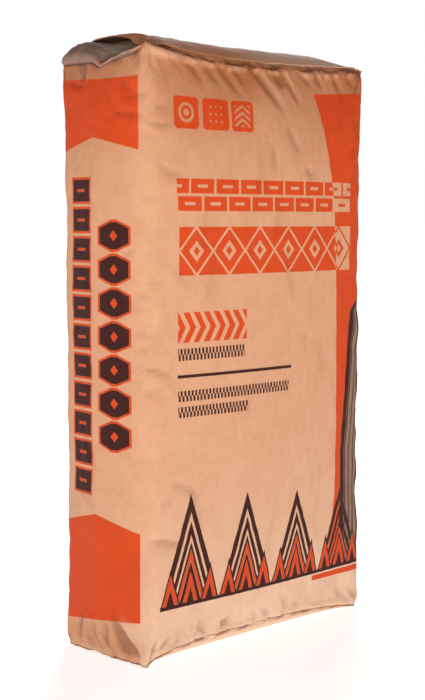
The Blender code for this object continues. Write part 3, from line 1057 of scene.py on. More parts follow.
def top_notch(along, across):
    """Dip of the fold line at the valve where the tube's crease meets it."""
    reach = np.where(across < 0, TOP_NOTCH_FRONT_REACH, TOP_NOTCH_BACK_REACH)
    return TOP_NOTCH_DEPTH * hump(across, reach) * ease((-along / HALF_PANEL - 0.9) / 0.1)


def valve_fold(along, across):
    """Height that the fold lines gain or lose at the valve, but for the notch."""
    s = along / HALF_PANEL
    t = across / HALF_END
    at_valve = ease((-s - 0.5) / 0.5)
    corner = VALVE_CORNER_RISE * at_valve * ((1 - t) / 2) ** 20
    return corner - VALVE_SIDE_DROP * at_valve * np.minimum((1 + t) / 0.8, 1.0)


def top_of_sack(along, across):
    at_valve = ease((-along / HALF_PANEL - 0.3) / 0.6)
    at_back = ease(across / HALF_END + 0.4)
    from_side = HALF_END - np.abs(across)
    behind = sloping(from_side, mix(TOP_EDGE_SLOPE, TOP_BACK_SLOPE, at_valve))
    from_sides = np.where(across > 0, behind, sloping(from_side, TOP_EDGE_SLOPE))
    from_fold = HALF_PANEL + along
    from_valve = mix(ease(from_fold / TOP_VALVE_SLOPE), rounding(from_fold, TOP_VALVE_ROUNDING), at_back)
    from_far_end = sloping(HALF_PANEL - along, TOP_EDGE_SLOPE)
    crown = mix(TOP_CROWN_AT_VALVE, TOP_CROWN_FAR, (along + HALF_PANEL) / (2 * HALF_PANEL))
    rise = from_sides * from_valve * from_far_end
    fold = valve_fold(along, across) - top_notch(along, across)
    dip = MOUTH_DIP * at_back * hump(along - MOUTH, 0.010)
    return TOP_LEVEL - top_sag(along, across) + mix(fold, crown, rise) - dip


def base_fold(along, across):
    """Height of the bottom fold line over the flat base; it rises fastest beside the valve end."""
    s = np.abs(along) / HALF_PANEL
    t = np.abs(across) / HALF_END
    arch = 1 - s ** np.where(along < 0, 5.0, 2.3)
    front = (BASE_FRONT_LIFT - BASE_CORNER_LIFT) * arch * t
    side = (BASE_SIDE_LIFT - BASE_CORNER_LIFT) * (1 - t**2) * s
    return BASE_CORNER_LIFT + front + side


def base_of_sack(along, across):
    inside = sloping(HALF_END - np.abs(across), BASE_EDGE_SLOPE)
    inside = inside * sloping(HALF_PANEL - np.abs(along), BASE_EDGE_SLOPE)
    return BASE_LEVEL + base_fold(along, across) * (1 - inside)


def wall_shape(paper, layout):
    """The wall's points before the paper ripples."""
    points = np.empty((*layout.wall.shape, 3))
    along, across = layout.plan_of_ring()
    near = np.clip(1 - layout.heights / FOLD_REACH, 0.0, 1.0) ** 2
    below_top = WALL_HEIGHT - layout.heights
    near_top = np.clip(1 - below_top / FOLD_REACH, 0.0, 1.0) ** 2
    near_notch = np.clip(1 - below_top / NOTCH_REACH, 0.0, 1.0) ** 2
    top_lift = valve_fold(along, across) - top_sag(along, across)
    for row, height in enumerate(layout.heights):
        section = section_at(paper, fullness_at(paper, height / WALL_HEIGHT))
        points[row, :, 0], points[row, :, 1] = round_the_tube(section, layout.girths)
        lift = base_fold(along, across) * near[row] + top_lift * near_top[row]
        lift -= top_notch(along, across) * near_notch[row]
        points[row, :, 2] = BASE_LEVEL + height + lift
    return points


# The fill settles: a coarse cloth of the tube under pressure

SETTLE_COLUMNS = 136
SETTLE_FRAMES = 25
START_FULLNESS = 0.7


def settle_mesh(paper, rows, slack):
    """Coarse tube points at part fullness, a slack longer than the wall."""
    girths = np.arange(SETTLE_COLUMNS) * GIRTH / SETTLE_COLUMNS
    points = np.empty((rows + 1, SETTLE_COLUMNS, 3))
    for row in range(rows + 1):
        share = row / rows
        section = section_at(paper, START_FULLNESS * fullness_at(paper, share))
        points[row, :, 0], points[row, :, 1] = round_the_tube(section, girths)
        points[row, :, 2] = share * (WALL_HEIGHT + slack)
    return points


def settle_paper(paper):
    """Ripples of the paper after the fill has settled, as shifts on a coarse grid."""
    rows = round(WALL_HEIGHT * SETTLE_COLUMNS / GIRTH)
    start = settle_mesh(paper, rows, 0.0)
    cut = settle_mesh(paper, rows, paper.paper_slack)
    uneven = start.copy()
    swell = 0.0025 * noise_at(start, 14.0) + 0.0015 * noise_at(start, 40.0, 7.0)
    outward = start * (0.3, 1.0, 0.0)
    outward /= np.linalg.norm(outward, axis=-1, keepdims=True) + 1e-9
    uneven[1:-1] += (outward * swell[..., None])[1:-1]

    numbers = np.arange(start[..., 0].size).reshape(start.shape[:2])
    after = np.roll(numbers, -1, axis=1)
    faces = np.stack((numbers[:-1], after[:-1], after[1:], numbers[1:]), axis=-1).reshape(-1, 4).tolist()
    top, bottom = numbers.size, numbers.size + 1
    faces += [(a, b, top) for a, b in zip(numbers[-1].tolist(), after[-1].tolist())]
    faces += [(b, a, bottom) for a, b in zip(numbers[0].tolist(), after[0].tolist())]
    ends = [(0.0, 0.0, WALL_HEIGHT), (0.0, 0.0, 0.0)]
    mesh = bpy.data.meshes.new("settling_tube")
    mesh.from_pydata(uneven.reshape(-1, 3).tolist() + ends, [], faces)
    tube = add_object("settling_tube", mesh)
    held = tube.vertex_groups.new(name="held")
    held.add(numbers[0].tolist() + numbers[-1].tolist() + [top, bottom], 1.0, "REPLACE")
    tube.shape_key_add(name="Basis")
    paper_key = tube.shape_key_add(name="paper")
    lengthened = np.concatenate((cut.reshape(-1, 3), [(0.0, 0.0, WALL_HEIGHT + paper.paper_slack), ends[1]]))
    paper_key.data.foreach_set("co", lengthened.ravel())
    paper_key.value = 0.0

    cloth = tube.modifiers.new("cloth", "CLOTH")
    physical = cloth.settings
    physical.quality = 8
    physical.mass = 0.1
    physical.air_damping = 3
    physical.tension_stiffness = physical.compression_stiffness = 60
    physical.shear_stiffness = 30
    physical.bending_stiffness = 0.5
    physical.tension_damping = physical.compression_damping = physical.shear_damping = 20
    physical.bending_damping = 2
    physical.use_pressure = True
    physical.uniform_pressure_force = paper.fill_pressure
    physical.vertex_group_mass = "held"
    physical.pin_stiffness = 1
    physical.rest_shape_key = paper_key
    physical.effector_weights.gravity = 0
    cloth.collision_settings.use_collision = False
    cloth.point_cache.frame_start = 1
    cloth.point_cache.frame_end = SETTLE_FRAMES
    for step in range(1, SETTLE_FRAMES + 1):
        bpy.context.scene.frame_set(step)
    settled_mesh = bpy.data.meshes.new_from_object(tube.evaluated_get(bpy.context.evaluated_depsgraph_get()))
    settled = mesh_points(settled_mesh)[: numbers.size].reshape(start.shape)
    bpy.data.objects.remove(tube, do_unlink=True)
    bpy.data.meshes.remove(mesh)
    bpy.data.meshes.remove(settled_mesh)
    bpy.context.scene.frame_set(1)
    return ripples_of(settled - start)


def bell(reach):
    """Offsets and weights that smooth over a reach in cells."""
    offsets = np.arange(-3 * reach, 3 * reach + 1)
    weights = np.exp(-((offsets / reach) ** 2) / 2)
    return list(zip(offsets, weights / weights.sum()))


def smoothed_round(grid, reach):
    return sum(weight * np.roll(grid, offset, axis=1) for offset, weight in bell(reach))


def smoothed_up(grid, reach):
    """Smoothed along the height, as if mirrored at the ends."""
    last = len(grid) - 1
    rows = np.arange(last + 1)
    result = np.zeros_like(grid)
    for offset, weight in bell(reach):
        place = np.abs(rows + offset)
        result += weight * grid[np.where(place > last, 2 * last - place, place)]
    return result


def ripples_of(shifts):
    """What the settling adds to the tube's own fullness."""
    rows = np.arange(len(shifts)) / (len(shifts) - 1) * WALL_HEIGHT
    hold = ease(np.minimum(rows, WALL_HEIGHT - rows) / 0.030)
    sharp = shifts - smoothed_up(smoothed_round(shifts, 8), 8)
    sharp -= smoothed_up(sharp, 9)
    return sharp * hold[:, None, None]


def smooth_weights(share):
    """Catmull-Rom weights of the four cells round a place."""
    t2, t3 = share**2, share**3
    return np.stack((
        (-t3 + 2 * t2 - share) / 2,
        (3 * t3 - 5 * t2 + 2) / 2,
        (-3 * t3 + 4 * t2 + share) / 2,
        (t3 - t2) / 2,
    ))


def resampled(grid, layout):
    """A coarse grid of shifts, read smoothly at the layout's places on the wall."""
    row_place = layout.heights / WALL_HEIGHT * (len(grid) - 1)
    column_place = (layout.girths % GIRTH) / GIRTH * grid.shape[1]
    row, column = np.floor(row_place).astype(int), np.floor(column_place).astype(int)
    row_weights = smooth_weights(row_place - row)
    column_weights = smooth_weights(column_place - column)
    beside = [grid[:, (column + k - 1) % grid.shape[1]] for k in range(4)]
    across = sum(column_weights[k][None, :, None] * beside[k] for k in range(4))
    above = [across[np.clip(row + k - 1, 0, len(grid) - 1)] for k in range(4)]
    return sum(row_weights[k][:, None, None] * above[k] for k in range(4))


# Folds pressed into the paper

class Fold(NamedTuple):
    """A valley along a path of (girth, height) places, with a raised lip on the path's left."""

    path: tuple
    depth: float
    width: float
    lip: float = 0.55


PHOTO_FOLDS = (
    Fold(((0.134, 0.672), (0.144, 0.664), (0.160, 0.641)), 0.0013, 0.0034),
    Fold(((0.160, 0.674), (0.170, 0.663), (0.186, 0.640)), 0.0012, 0.0030),
    Fold(((0.184, 0.674), (0.196, 0.658), (0.218, 0.632)), 0.0015, 0.0034),
    Fold(((0.206, 0.676), (0.214, 0.664), (0.224, 0.652)), 0.0011, 0.0028),
    Fold(((0.236, 0.680), (0.246, 0.668), (0.266, 0.645), (0.292, 0.611)), 0.0026, 0.0040, 0.75),
    Fold(((0.276, 0.676), (0.284, 0.664), (0.290, 0.655)), 0.0022, 0.0052, 0.30),
    Fold(((0.286, 0.680), (0.294, 0.665), (0.308, 0.644), (0.316, 0.630)), 0.0019, 0.0032, 0.70),
    Fold(((0.318, 0.678), (0.330, 0.668), (0.338, 0.652)), 0.0012, 0.0030),
    Fold(((0.345, 0.680), (0.352, 0.668), (0.361, 0.655)), 0.0016, 0.0028),
    Fold(((0.380, 0.680), (0.387, 0.667), (0.396, 0.652)), 0.0014, 0.0028),
    Fold(((0.408, 0.681), (0.414, 0.668), (0.424, 0.659)), 0.0013, 0.0026),
    Fold(((0.262, 0.590), (0.264, 0.568), (0.268, 0.548)), 0.0008, 0.0040),
    Fold(((0.318, 0.562), (0.328, 0.553), (0.340, 0.548)), 0.0011, 0.0036),
    Fold(((0.286, 0.612), (0.298, 0.592), (0.318, 0.566)), 0.0008, 0.0048),
    Fold(((0.062, 0.336), (0.086, 0.330), (0.110, 0.321)), 0.0009, 0.0036),
    Fold(((0.069, 0.141), (0.098, 0.138), (0.129, 0.127)), 0.0010, 0.0036),
    Fold(((0.098, 0.205), (0.122, 0.196), (0.150, 0.180)), 0.0007, 0.0048),
    Fold(((0.080, 0.560), (0.104, 0.548), (0.128, 0.545)), 0.0008, 0.0042),
    Fold(((0.025, 0.616), (0.050, 0.612), (0.080, 0.607)), 0.0010, 0.0032),
    Fold(((0.066, 0.604), (0.092, 0.600), (0.112, 0.603)), 0.0007, 0.0030),
    Fold(((0.036, 0.652), (0.050, 0.640), (0.058, 0.628)), 0.0008, 0.0034),
    Fold(((0.998, 0.676), (0.998, 0.662), (0.994, 0.648)), 0.0014, 0.0030),
    Fold(((0.962, 0.656), (0.985, 0.651), (1.008, 0.647)), 0.0010, 0.0030),
    Fold(((0.020, 0.052), (0.038, 0.032), (0.056, 0.015), (0.073, 0.001)), 0.0034, 0.0056, 0.45),
    Fold(((0.006, 0.046), (0.012, 0.034), (0.010, 0.020), (0.004, 0.004)), 0.0010, 0.0034),
    Fold(((0.990, 0.050), (0.985, 0.026), (0.975, 0.004)), 0.0012, 0.0034),
    Fold(((1.014, 0.040), (1.011, 0.026), (1.013, 0.012)), 0.0008, 0.0030),
    Fold(((0.026, 0.026), (0.040, 0.014), (0.052, 0.004)), 0.0010, 0.0034),
    Fold(((0.074, 0.001), (0.078, 0.014), (0.083, 0.030)), 0.0021, 0.0034, 0.70),
    Fold(((0.078, 0.001), (0.092, 0.014), (0.108, 0.026)), 0.0014, 0.0034),
    Fold(((0.084, 0.001), (0.104, 0.009), (0.128, 0.014)), 0.0012, 0.0030),
    Fold(((0.070, 0.004), (0.066, 0.020), (0.064, 0.038)), 0.0010, 0.0030),
)


def smooth_path(places):
    """A path through its places, rounded between them."""
    places = np.array(places, float)
    padded = np.concatenate(([2 * places[0] - places[1]], places, [2 * places[-1] - places[-2]]))
    path = [
        sum(w * padded[k + j] for j, w in enumerate(smooth_weights(np.float64(share))))
        for k in range(len(places) - 1)
        for share in np.arange(0.0, 1.0, 0.2)
    ]
    return np.array(path + [places[-1]])


def press(folds, layout):
    """Outward shift of the wall's points that folds give."""
    shift = np.zeros(layout.wall.shape)
    for fold in folds:
        path = smooth_path(fold.path)
        reach = 5 * fold.width
        away = round_from(layout.girths, path[0, 0]) + path[0, 0]
        columns = np.flatnonzero((away > path[:, 0].min() - reach) & (away < path[:, 0].max() + reach))
        rows = np.flatnonzero(
            (layout.heights > path[:, 1].min() - reach) & (layout.heights < path[:, 1].max() + reach))
        if not len(rows) or not len(columns):
            continue
        place = np.stack(np.meshgrid(away[columns], layout.heights[rows]), axis=-1)
        nearest = np.full(place.shape[:-1], np.inf)
        side = np.zeros_like(nearest)
        along = np.zeros_like(nearest)
        for k, (start, end) in enumerate(zip(path, path[1:])):
            step = end - start
            share = np.clip(((place - start) @ step) / (step @ step), 0.0, 1.0)
            off = place - start - share[..., None] * step
            distance = np.linalg.norm(off, axis=-1)
            closer = distance < nearest
            nearest = np.where(closer, distance, nearest)
            turn = step[0] * (place[..., 1] - start[1]) - step[1] * (place[..., 0] - start[0])
            side = np.where(closer, np.sign(turn), side)
            along = np.where(closer, (k + share) / (len(path) - 1), along)
        from_end = min(path[0, 1], WALL_HEIGHT - path[0, 1])
        fade = ease((1 - along) / 0.45)
        if from_end > 0.012:
            fade = fade * ease(along / 0.30)
        signed = side * nearest / fold.width
        steepness = np.where(signed > 0, 1.35, 0.62)
        valley = -np.exp(-np.abs(signed * steepness) ** 1.3)
        lip = 0.6 * fold.lip * hump(signed - 2.0, 1.3)
        far_lip = 0.2 * fold.lip * hump(signed + 2.4, 1.6)
        shift[np.ix_(rows, columns)] += fold.depth * fade * (valley + lip + far_lip)
    return shift


def small_folds(paper):
    """Folds that every such sack has: short ones from the end fold lines, fans at the corners, and
    belts across the upright corners."""
    random = np.random.default_rng(paper.seed)
    folds = []
    for at_top in (True, False):
        edge = WALL_HEIGHT if at_top else 0.0
        inward = -1 if at_top else 1
        for _ in range(paper.fold_count):
            girth = random.uniform(0.0, GIRTH)
            length = random.uniform(0.010, 0.046)
            lean = random.normal(0.25 if at_top else -0.1, 0.45)
            depth = random.uniform(0.0005, 0.0013)
            width = random.uniform(0.0022, 0.0042)
            bend = random.uniform(-0.004, 0.004)
            if at_top and 0.10 < girth < 0.43:
                continue
            path = (
                (girth, edge),
                (girth + lean * length / 2 + bend, edge + inward * length / 2),
                (girth + lean * length, edge + inward * length),
            )
            folds.append(Fold(path, depth, width, random.uniform(0.3, 0.7)))
        for corner in CORNERS:
            for turn in (-1, 1):
                if corner == NEAR_CORNER:
                    continue
                for slope in (0.45, 0.95, 1.9):
                    length = random.uniform(0.018, 0.050)
                    steepness = slope * random.uniform(0.75, 1.3)
                    run = length / math.hypot(1.0, steepness)
                    path = (
                        (corner + turn * 0.001, edge + inward * 0.001),
                        (corner + turn * run * 0.5, edge + inward * run * steepness * 0.5),
                        (corner + turn * run, edge + inward * run * steepness),
                    )
                    depth = random.uniform(0.0008, 0.0018)
                    folds.append(Fold(path, depth, random.uniform(0.0028, 0.0044), 0.4))
    for corner in CORNERS:
        for _ in range(15):
            height = random.uniform(0.04, WALL_HEIGHT - 0.03)
            middle = corner + random.normal(0.0, 0.010)
            half = random.uniform(0.008, 0.026)
            drop = random.normal(0.0, 0.18) * half
            depth = random.uniform(0.0003, 0.0008)
            path = (
                (middle - half, height + drop),
                (middle, height + random.normal(0, 0.0015)),
                (middle + half, height - drop),
            )
            folds.append(Fold(path, depth, random.uniform(0.0022, 0.0040), 0.5))
    for _ in range(34):
        girth = random.uniform(0.0, GIRTH)
        height = random.uniform(0.10, WALL_HEIGHT - 0.10)
        length = random.uniform(0.030, 0.110)
        turn = random.normal(math.pi / 2, 0.5)
        run, rise = math.cos(turn) * length / 2, math.sin(turn) * length / 2
        bow = random.uniform(-0.006, 0.006)
        path = ((girth - run, height - rise), (girth + bow, height), (girth + run, height + rise))
        folds.append(Fold(path, random.uniform(0.0003, 0.0006), random.uniform(0.004, 0.008), 0.5))
    return folds


def ridged(points, scale, offset):
    """Noise with sharp ridges, like the facets of crumpled paper."""
    return 0.5 - np.abs(noise_at(points, scale, offset)) * 2.2


def outward_normals(points):
    """Outward normals of the wall's grid, which closes round the tube."""
    round_step = np.roll(points, -1, axis=1) - np.roll(points, 1, axis=1)
    up_step = np.gradient(points, axis=0)
    normals = np.cross(round_step, up_step)
    return normals / (np.linalg.norm(normals, axis=-1, keepdims=True) + 1e-12)


def fold_line_pinch(paper, layout):
    """Uneven depth of the grooves along the end fold lines, for each column."""
    turn = layout.girths / GIRTH * 2 * math.pi
    ring = np.stack((turn * 0 + 0.3, np.cos(turn), np.sin(turn)), axis=-1)
    beside_corner = 1.3 * hump(layout.girths - NEAR_CORNER - 0.026, 0.020)
    uneven = 0.75 + 1.5 * noise_at(ring, 9.0) + 1.2 * noise_at(ring, 27.0, 3.0) + beside_corner
    top = paper.pinch * np.clip(uneven, 0.05, 1.9)
    uneven = 0.75 + 0.9 * noise_at(ring, 7.0, 11.0) + 0.7 * noise_at(ring, 24.0, 5.0)
    return paper.pinch * np.clip(uneven, 0.1, 1.7), top


def ripple_wall(paper, layout, points, ripples):
    """Adds ripples, folds and crumples to the wall, and returns how far each point was pressed, with painted
    shade added in dashes along the base fold line.
    """
    calmer = 1 - 0.6 * peak(round_from(layout.girths, BACK_LEFT_CORNER), 0.025)
    points += resampled(ripples, layout) * paper.ripple_gain * calmer[None, :, None]
    from_ends = np.minimum(layout.heights, WALL_HEIGHT - layout.heights)
    near_end = peak(from_ends, 0.060)
    to_corner = np.min([np.abs(round_from(layout.girths, corner)) for corner in CORNERS], axis=0)
    near_corner = peak(to_corner, 0.030)
    liveliness = 0.45 + 0.8 * near_end[:, None] + 0.35 * near_corner[None, :]
    crumple = ridged(points, 26.0, 2.0) + 0.55 * ridged(points, 61.0, 9.0)
    crumple += 0.25 * noise_at(points, 170.0, 4.0)
    folded = 1.35 * press(PHOTO_FOLDS, layout) + press(small_folds(paper), layout)
    from_top = WALL_HEIGHT - layout.heights
    off_crease = np.abs(round_from(layout.girths, 0.0))
    at_lip = ease((NEAR_CORNER - off_crease) / 0.010)
    away_from_corners = 1 - 0.8 * near_corner**3
    base_pinch, top_pinch = (pinch * away_from_corners for pinch in fold_line_pinch(paper, layout))
    top_pinch *= 1 - at_lip
    lip = 0.0011 * hump(from_top, 0.0018) - 0.0022 * hump(from_top - 0.0040, 0.0014)
    pinched = at_lip[None, :] * lip[:, None]
    for from_edge, pinch in ((layout.heights, base_pinch), (from_top, top_pinch)):
        groove = -hump(from_edge, 0.0022)
        swell = 0.75 * hump(from_edge - 0.0065, 0.0042)
        pinched += pinch[None, :] * (groove + swell)[:, None]
    shift = folded + pinched + paper.crumple * liveliness * crumple
    lap = (layout.girths > BACK_RIGHT_CORNER) & (layout.girths < BACK_LEFT_CORNER)
    along = HALF_PANEL - (layout.girths - BACK_RIGHT_CORNER)
    over = lap & (along < SEAM_ALONG + CUT_EDGE / 2)
    lap_rise = np.where(over, PLY * (1 - ease((SEAM_ALONG - along - SEAM_LAP) / 0.012)), 0.0)
    shift += lap_rise[None, :] * ease(from_ends / 0.006)[:, None]
    points += outward_normals(points) * shift[..., None]
    # Painted shade in dashes along the base fold line
    dashes = np.clip(0.9 + 1.8 * noise_at(points[:1] * (1.0, 1.0, 0.0), 48.0, 127.0), 0.0, 1.4)
    in_base_fold = FULL_PRESS * dashes * hump(layout.heights, 0.0024)[:, None]
    # The pressing also paints shade in valleys and grooves, and wear on ridges
    return np.clip(folded * 0.6, -0.0009, 0.0009) + pinched - in_base_fold


def lay_end(layout, ring, level, relief):
    """Points over a folded end: its own level inside, joined to the wall's ring along its edges."""
    along, across = layout.plan()
    flat = np.stack((along, across, level(along, across)), axis=-1)
    grid = flat.copy()
    grid[..., 2] += relief
    edge = np.zeros_like(flat)
    edge[layout.around[:, 0], layout.around[:, 1]] = ring - flat[layout.around[:, 0], layout.around[:, 1]]
    spread = 0.020
    left = np.clip(1 - (along + HALF_PANEL) / spread, 0, 1)[..., None] ** 2
    right = np.clip(1 - (HALF_PANEL - along) / spread, 0, 1)[..., None] ** 2
    front = np.clip(1 - (across + HALF_END) / spread, 0, 1)[..., None] ** 2
    back = np.clip(1 - (HALF_END - across) / spread, 0, 1)[..., None] ** 2
    grid += left * edge[:1] + right * edge[-1:] + front * edge[:, :1] + back * edge[:, -1:]
    grid -= left * front * edge[:1, :1] + left * back * edge[:1, -1:]
    grid -= right * front * edge[-1:, :1] + right * back * edge[-1:, -1:]
    grid[layout.around[:, 0], layout.around[:, 1]] = ring
    return grid


def from_fold_lines(along, across):
    """Distance in from the nearest fold line of an end."""
    return np.minimum(HALF_PANEL - np.abs(along), HALF_END - np.abs(across))


def flap_relief(layout, step):
    """Steps where the end flaps lie on each other: along the corner diagonals and the lap."""
    along, across = layout.plan()
    past_diagonal = (HALF_PANEL - np.abs(along)) - (HALF_END - np.abs(across))
    over_triangles = ease(past_diagonal / 0.004 + 0.5)
    lapped = ease((0.012 - across) / 0.003 + 0.5) * over_triangles
    return step * (over_triangles + lapped) * ease(from_fold_lines(along, across) / 0.006)


def end_crumple(layout, gain):
    along, across = layout.plan()
    plan = np.stack((along, across, along * 0), axis=-1)
    uneven = ridged(plan, 24.0, 31.0) + 0.6 * ridged(plan, 60.0, 37.0) + 0.25 * noise_at(plan, 160.0, 41.0)
    return gain * uneven * ease(from_fold_lines(along, across) / 0.010)


def valve_slope_folds(layout):
    """Creases of the sloping flap between the side's fold line and the mouth."""
    along, across = layout.plan()
    from_fold = along + HALF_PANEL
    slope = hump(from_fold - 0.010, 0.010)
    valley = -0.0018 * hump(from_fold - 0.0040, 0.0024)
    rising = -0.0022 * peak(across - 0.001 + 0.25 * from_fold, 0.0030) * slope
    diagonal = -0.0016 * peak(across + HALF_END - 1.5 * from_fold, 0.0026) * ease(from_fold / 0.004)
    diagonal *= ease((0.040 - from_fold) / 0.02)
    back = 0.0012 * peak(across - 0.040 - 0.4 * from_fold, 0.004) * slope
    return valley + rising + diagonal + back


def ring_shade(layout, offset):
    """How much painted shade lies in the fold lines of an end, in dashes along it."""
    places = np.zeros((len(layout.alongs), 3))
    places[:, 0] = layout.alongs
    return np.clip(0.75 + 1.6 * noise_at(places, 55.0, offset), 0.0, 1.3)[:, None]


def tube_points(paper, ends, layout):
    """All points of the filled tube in the layout's order, with how far each was pressed and where shade is
    painted in its folds.
    """
    wall = wall_shape(paper, layout)
    pressed = ripple_wall(paper, layout, wall, settle_paper(paper))
    away = from_fold_lines(*layout.plan())
    swell = 0.0016 * hump(away - 0.0045, 0.0035)
    # The slope's creases also get painted shade along their valleys
    top_press = valve_slope_folds(layout)
    top_relief = flap_relief(layout, ends.flap_step) + end_crumple(layout, 0.0006) + swell * 0.6 + top_press
    top = lay_end(layout, wall[-1], top_of_sack, top_relief)
    base_relief = np.maximum(end_crumple(layout, 0.0004), 0.0) * ease((0.016 - away) / 0.008)
    base = lay_end(layout, wall[0], base_of_sack, base_relief)
    under_sheet = (np.abs(layout.alongs) < FAR_EDGE + CUT_EDGE)[:, None]
    under_sheet = under_sheet & (np.abs(layout.acrosses) < SHEET_BACK + CUT_EDGE)
    wall[..., 2] = np.maximum(wall[..., 2], LOWEST_PAPER)
    base[..., 2] = np.maximum(base[..., 2], np.where(under_sheet, BASE_LEVEL, LOWEST_PAPER))
    # Painted shade in the grooves of the end fold lines, in dashes
    in_folds = FULL_PRESS * hump(away, 0.0035)
    top_press = top_press - in_folds * ring_shade(layout, 107.0) * (layout.acrosses < 0)
    # Painted shade along the top sheet's edge at the valve's mouth
    top_press -= 0.0018 * hump(layout.alongs - MOUTH, 0.006)[:, None]
    points = np.empty((layout.count, 3))
    pressing = np.zeros(layout.count)
    for numbers, grid, press_grid in (
        (layout.top, top, top_press),
        (layout.bottom, base, -in_folds * ring_shade(layout, 113.0)),
        (layout.wall, wall, pressed),
    ):
        points[numbers] = grid
        pressing[numbers] = press_grid
    return points, pressing


def tube_faces(layout):
    wall = layout.wall
    after = np.roll(wall, -1, axis=1)
    faces = [np.stack((wall[:-1], after[:-1], after[1:], wall[1:]), axis=-1).reshape(-1, 4)]
    for numbers, turned in ((layout.top, False), (layout.bottom, True)):
        corners = [numbers[:-1, :-1], numbers[1:, :-1], numbers[1:, 1:], numbers[:-1, 1:]]
        faces.append(np.stack(corners[::-1] if turned else corners, axis=-1).reshape(-1, 4))
    return np.concatenate(faces)


def new_mesh_object(name, points, faces, material, smooth_angle=None):
    mesh = bpy.data.meshes.new(name)
    mesh.from_pydata(points.tolist(), [], faces if isinstance(faces, list) else faces.tolist())
    mesh.update()
    mesh.shade_smooth()
    if smooth_angle is not None:
        mesh.set_sharp_from_angle(angle=smooth_angle)
    mesh.materials.append(material)
    return add_object(name, mesh)


def set_attribute(mesh, name, values):
    attribute = mesh.attributes.new(name, "FLOAT", "POINT")
    attribute.data.foreach_set("value", np.asarray(values, np.float32))


def paper_uv(mesh, layout):
    """The paper's own map: girth and height on the wall, and plan places far from any print on the ends."""
    uv = mesh.uv_layers.new(name="paper")
    place = np.zeros((layout.count, 2))
    place[layout.wall, 0] = layout.girths[None, :]
    place[layout.wall, 1] = layout.heights[:, None]
    loops = np.empty(len(mesh.loops), int)
    mesh.loops.foreach_get("vertex_index", loops)
    corner_places = place[loops]
    wall_faces = (len(layout.heights) - 1) * len(layout.girths)
    wall_loops = corner_places[: wall_faces * 4].reshape(-1, 4, 2)
    closing = np.ptp(wall_loops[..., 0], axis=1) > REPEAT
    before = wall_loops[..., 0] < REPEAT
    wall_loops[..., 0] += np.where(closing[:, None] & before, GIRTH, 0.0)
    plan = mesh_points(mesh)[loops[wall_faces * 4:], :2]
    corner_places[wall_faces * 4:] = plan + UNPRINTED_PLACE
    uv.data.foreach_set("uv", corner_places.ravel())


def on_valve_side(points):
    """1 on the narrow panel at the valve end, 0 past its corners."""
    return ease((-points[:, 0] - HALF_PANEL + 0.010) / 0.010)


def painted_top_shade(layout, points):
    """How much painted shade darkens the paper: uneven, strongest along the top fold lines, where the
    wall leans back from the light, and behind the flap at the foot of the side, where the fold shades it."""
    from_top = np.maximum(TOP_LEVEL - points[:, 2], 0.0)
    uneven = 1 + 0.35 * noise_at(points, 11.0, 83.0) + 0.2 * noise_at(points, 37.0, 89.0)
    on_side = on_valve_side(points) * ease((HALF_END - 0.004 + points[:, 1]) / 0.020)
    at_corner = hump(np.abs(points[:, 0] + HALF_PANEL) + np.abs(points[:, 1] + HALF_END), 0.030)
    tone = np.exp(-((from_top / 0.085) ** 1.5)) * (0.78 - 0.10 * on_side) * (1 - 0.6 * at_corner)
    behind_flap = ease((0.004 + points[:, 1] + HALF_END - points[:, 2]) / 0.008)
    # Painted shade of the fold at the foot of the side
    tone += 0.34 * on_side * behind_flap * hump(points[:, 2], 0.050)
    tone *= uneven
    # The top end is painted evenly shaded
    tone[layout.top[1:-1, 1:-1]] = 0.55
    return np.clip(tone, 0.0, 1.0)


def crease_liveliness(points):
    """How creased the paper is: most near its folded ends, least over the middle of the panels."""
    from_end = np.minimum(points[:, 2], TOP_LEVEL - points[:, 2])
    return 0.10 + 0.90 * np.exp(-((np.maximum(from_end, 0.0) / 0.060) ** 1.5))


def foot_paleness(layout, points):
    """How much paler the paper is painted: up the wall from the floor, as painted light from the floor, and
    under the bottom fold line.
    """
    uneven = 1 + 0.4 * noise_at(points, 17.0, 97.0) + 0.25 * noise_at(points, 52.0, 101.0)
    on_side = on_valve_side(points)
    from_corner = points[:, 1] + HALF_END
    behind_flap = on_side * ease((0.004 + from_corner - points[:, 2]) / 0.008) * ease(from_corner / 0.02)
    # Painted light: paler towards the floor, less so on the side at the valve
    pale = 0.80 * np.exp(-((points[:, 2] / 0.135) ** 1.4)) * uneven
    pale *= (1 - 0.45 * on_side) * (1 - 0.7 * behind_flap)
    pale[layout.bottom[1:-1, 1:-1]] = 0.9
    return np.clip(pale, 0.0, 1.0)


def valve_dust(points):
    """How dusty the paper is: most on the slope at the valve, a little along the base."""
    from_valve = np.linalg.norm((points - (MOUTH, 0.01, TOP_LEVEL)) * (1.0, 0.6, 0.9), axis=-1)
    at_valve = 0.62 * hump(from_valve, 0.055)
    on_slope = 0.80 * ease((MOUTH + 0.012 - points[:, 0]) / 0.020) * ease((points[:, 2] - 0.668) / 0.010)
    on_slope *= ease((points[:, 1] + HALF_END - 0.006) / 0.022)
    at_base = 0.16 * np.exp(-points[:, 2] / 0.015)
    return 0.10 + np.maximum(at_valve, on_slope) + at_base


def within(places, low, high):
    """Numbers of the places from one grid line to another."""
    return np.flatnonzero((places > low - SNUG) & (places < high + SNUG))


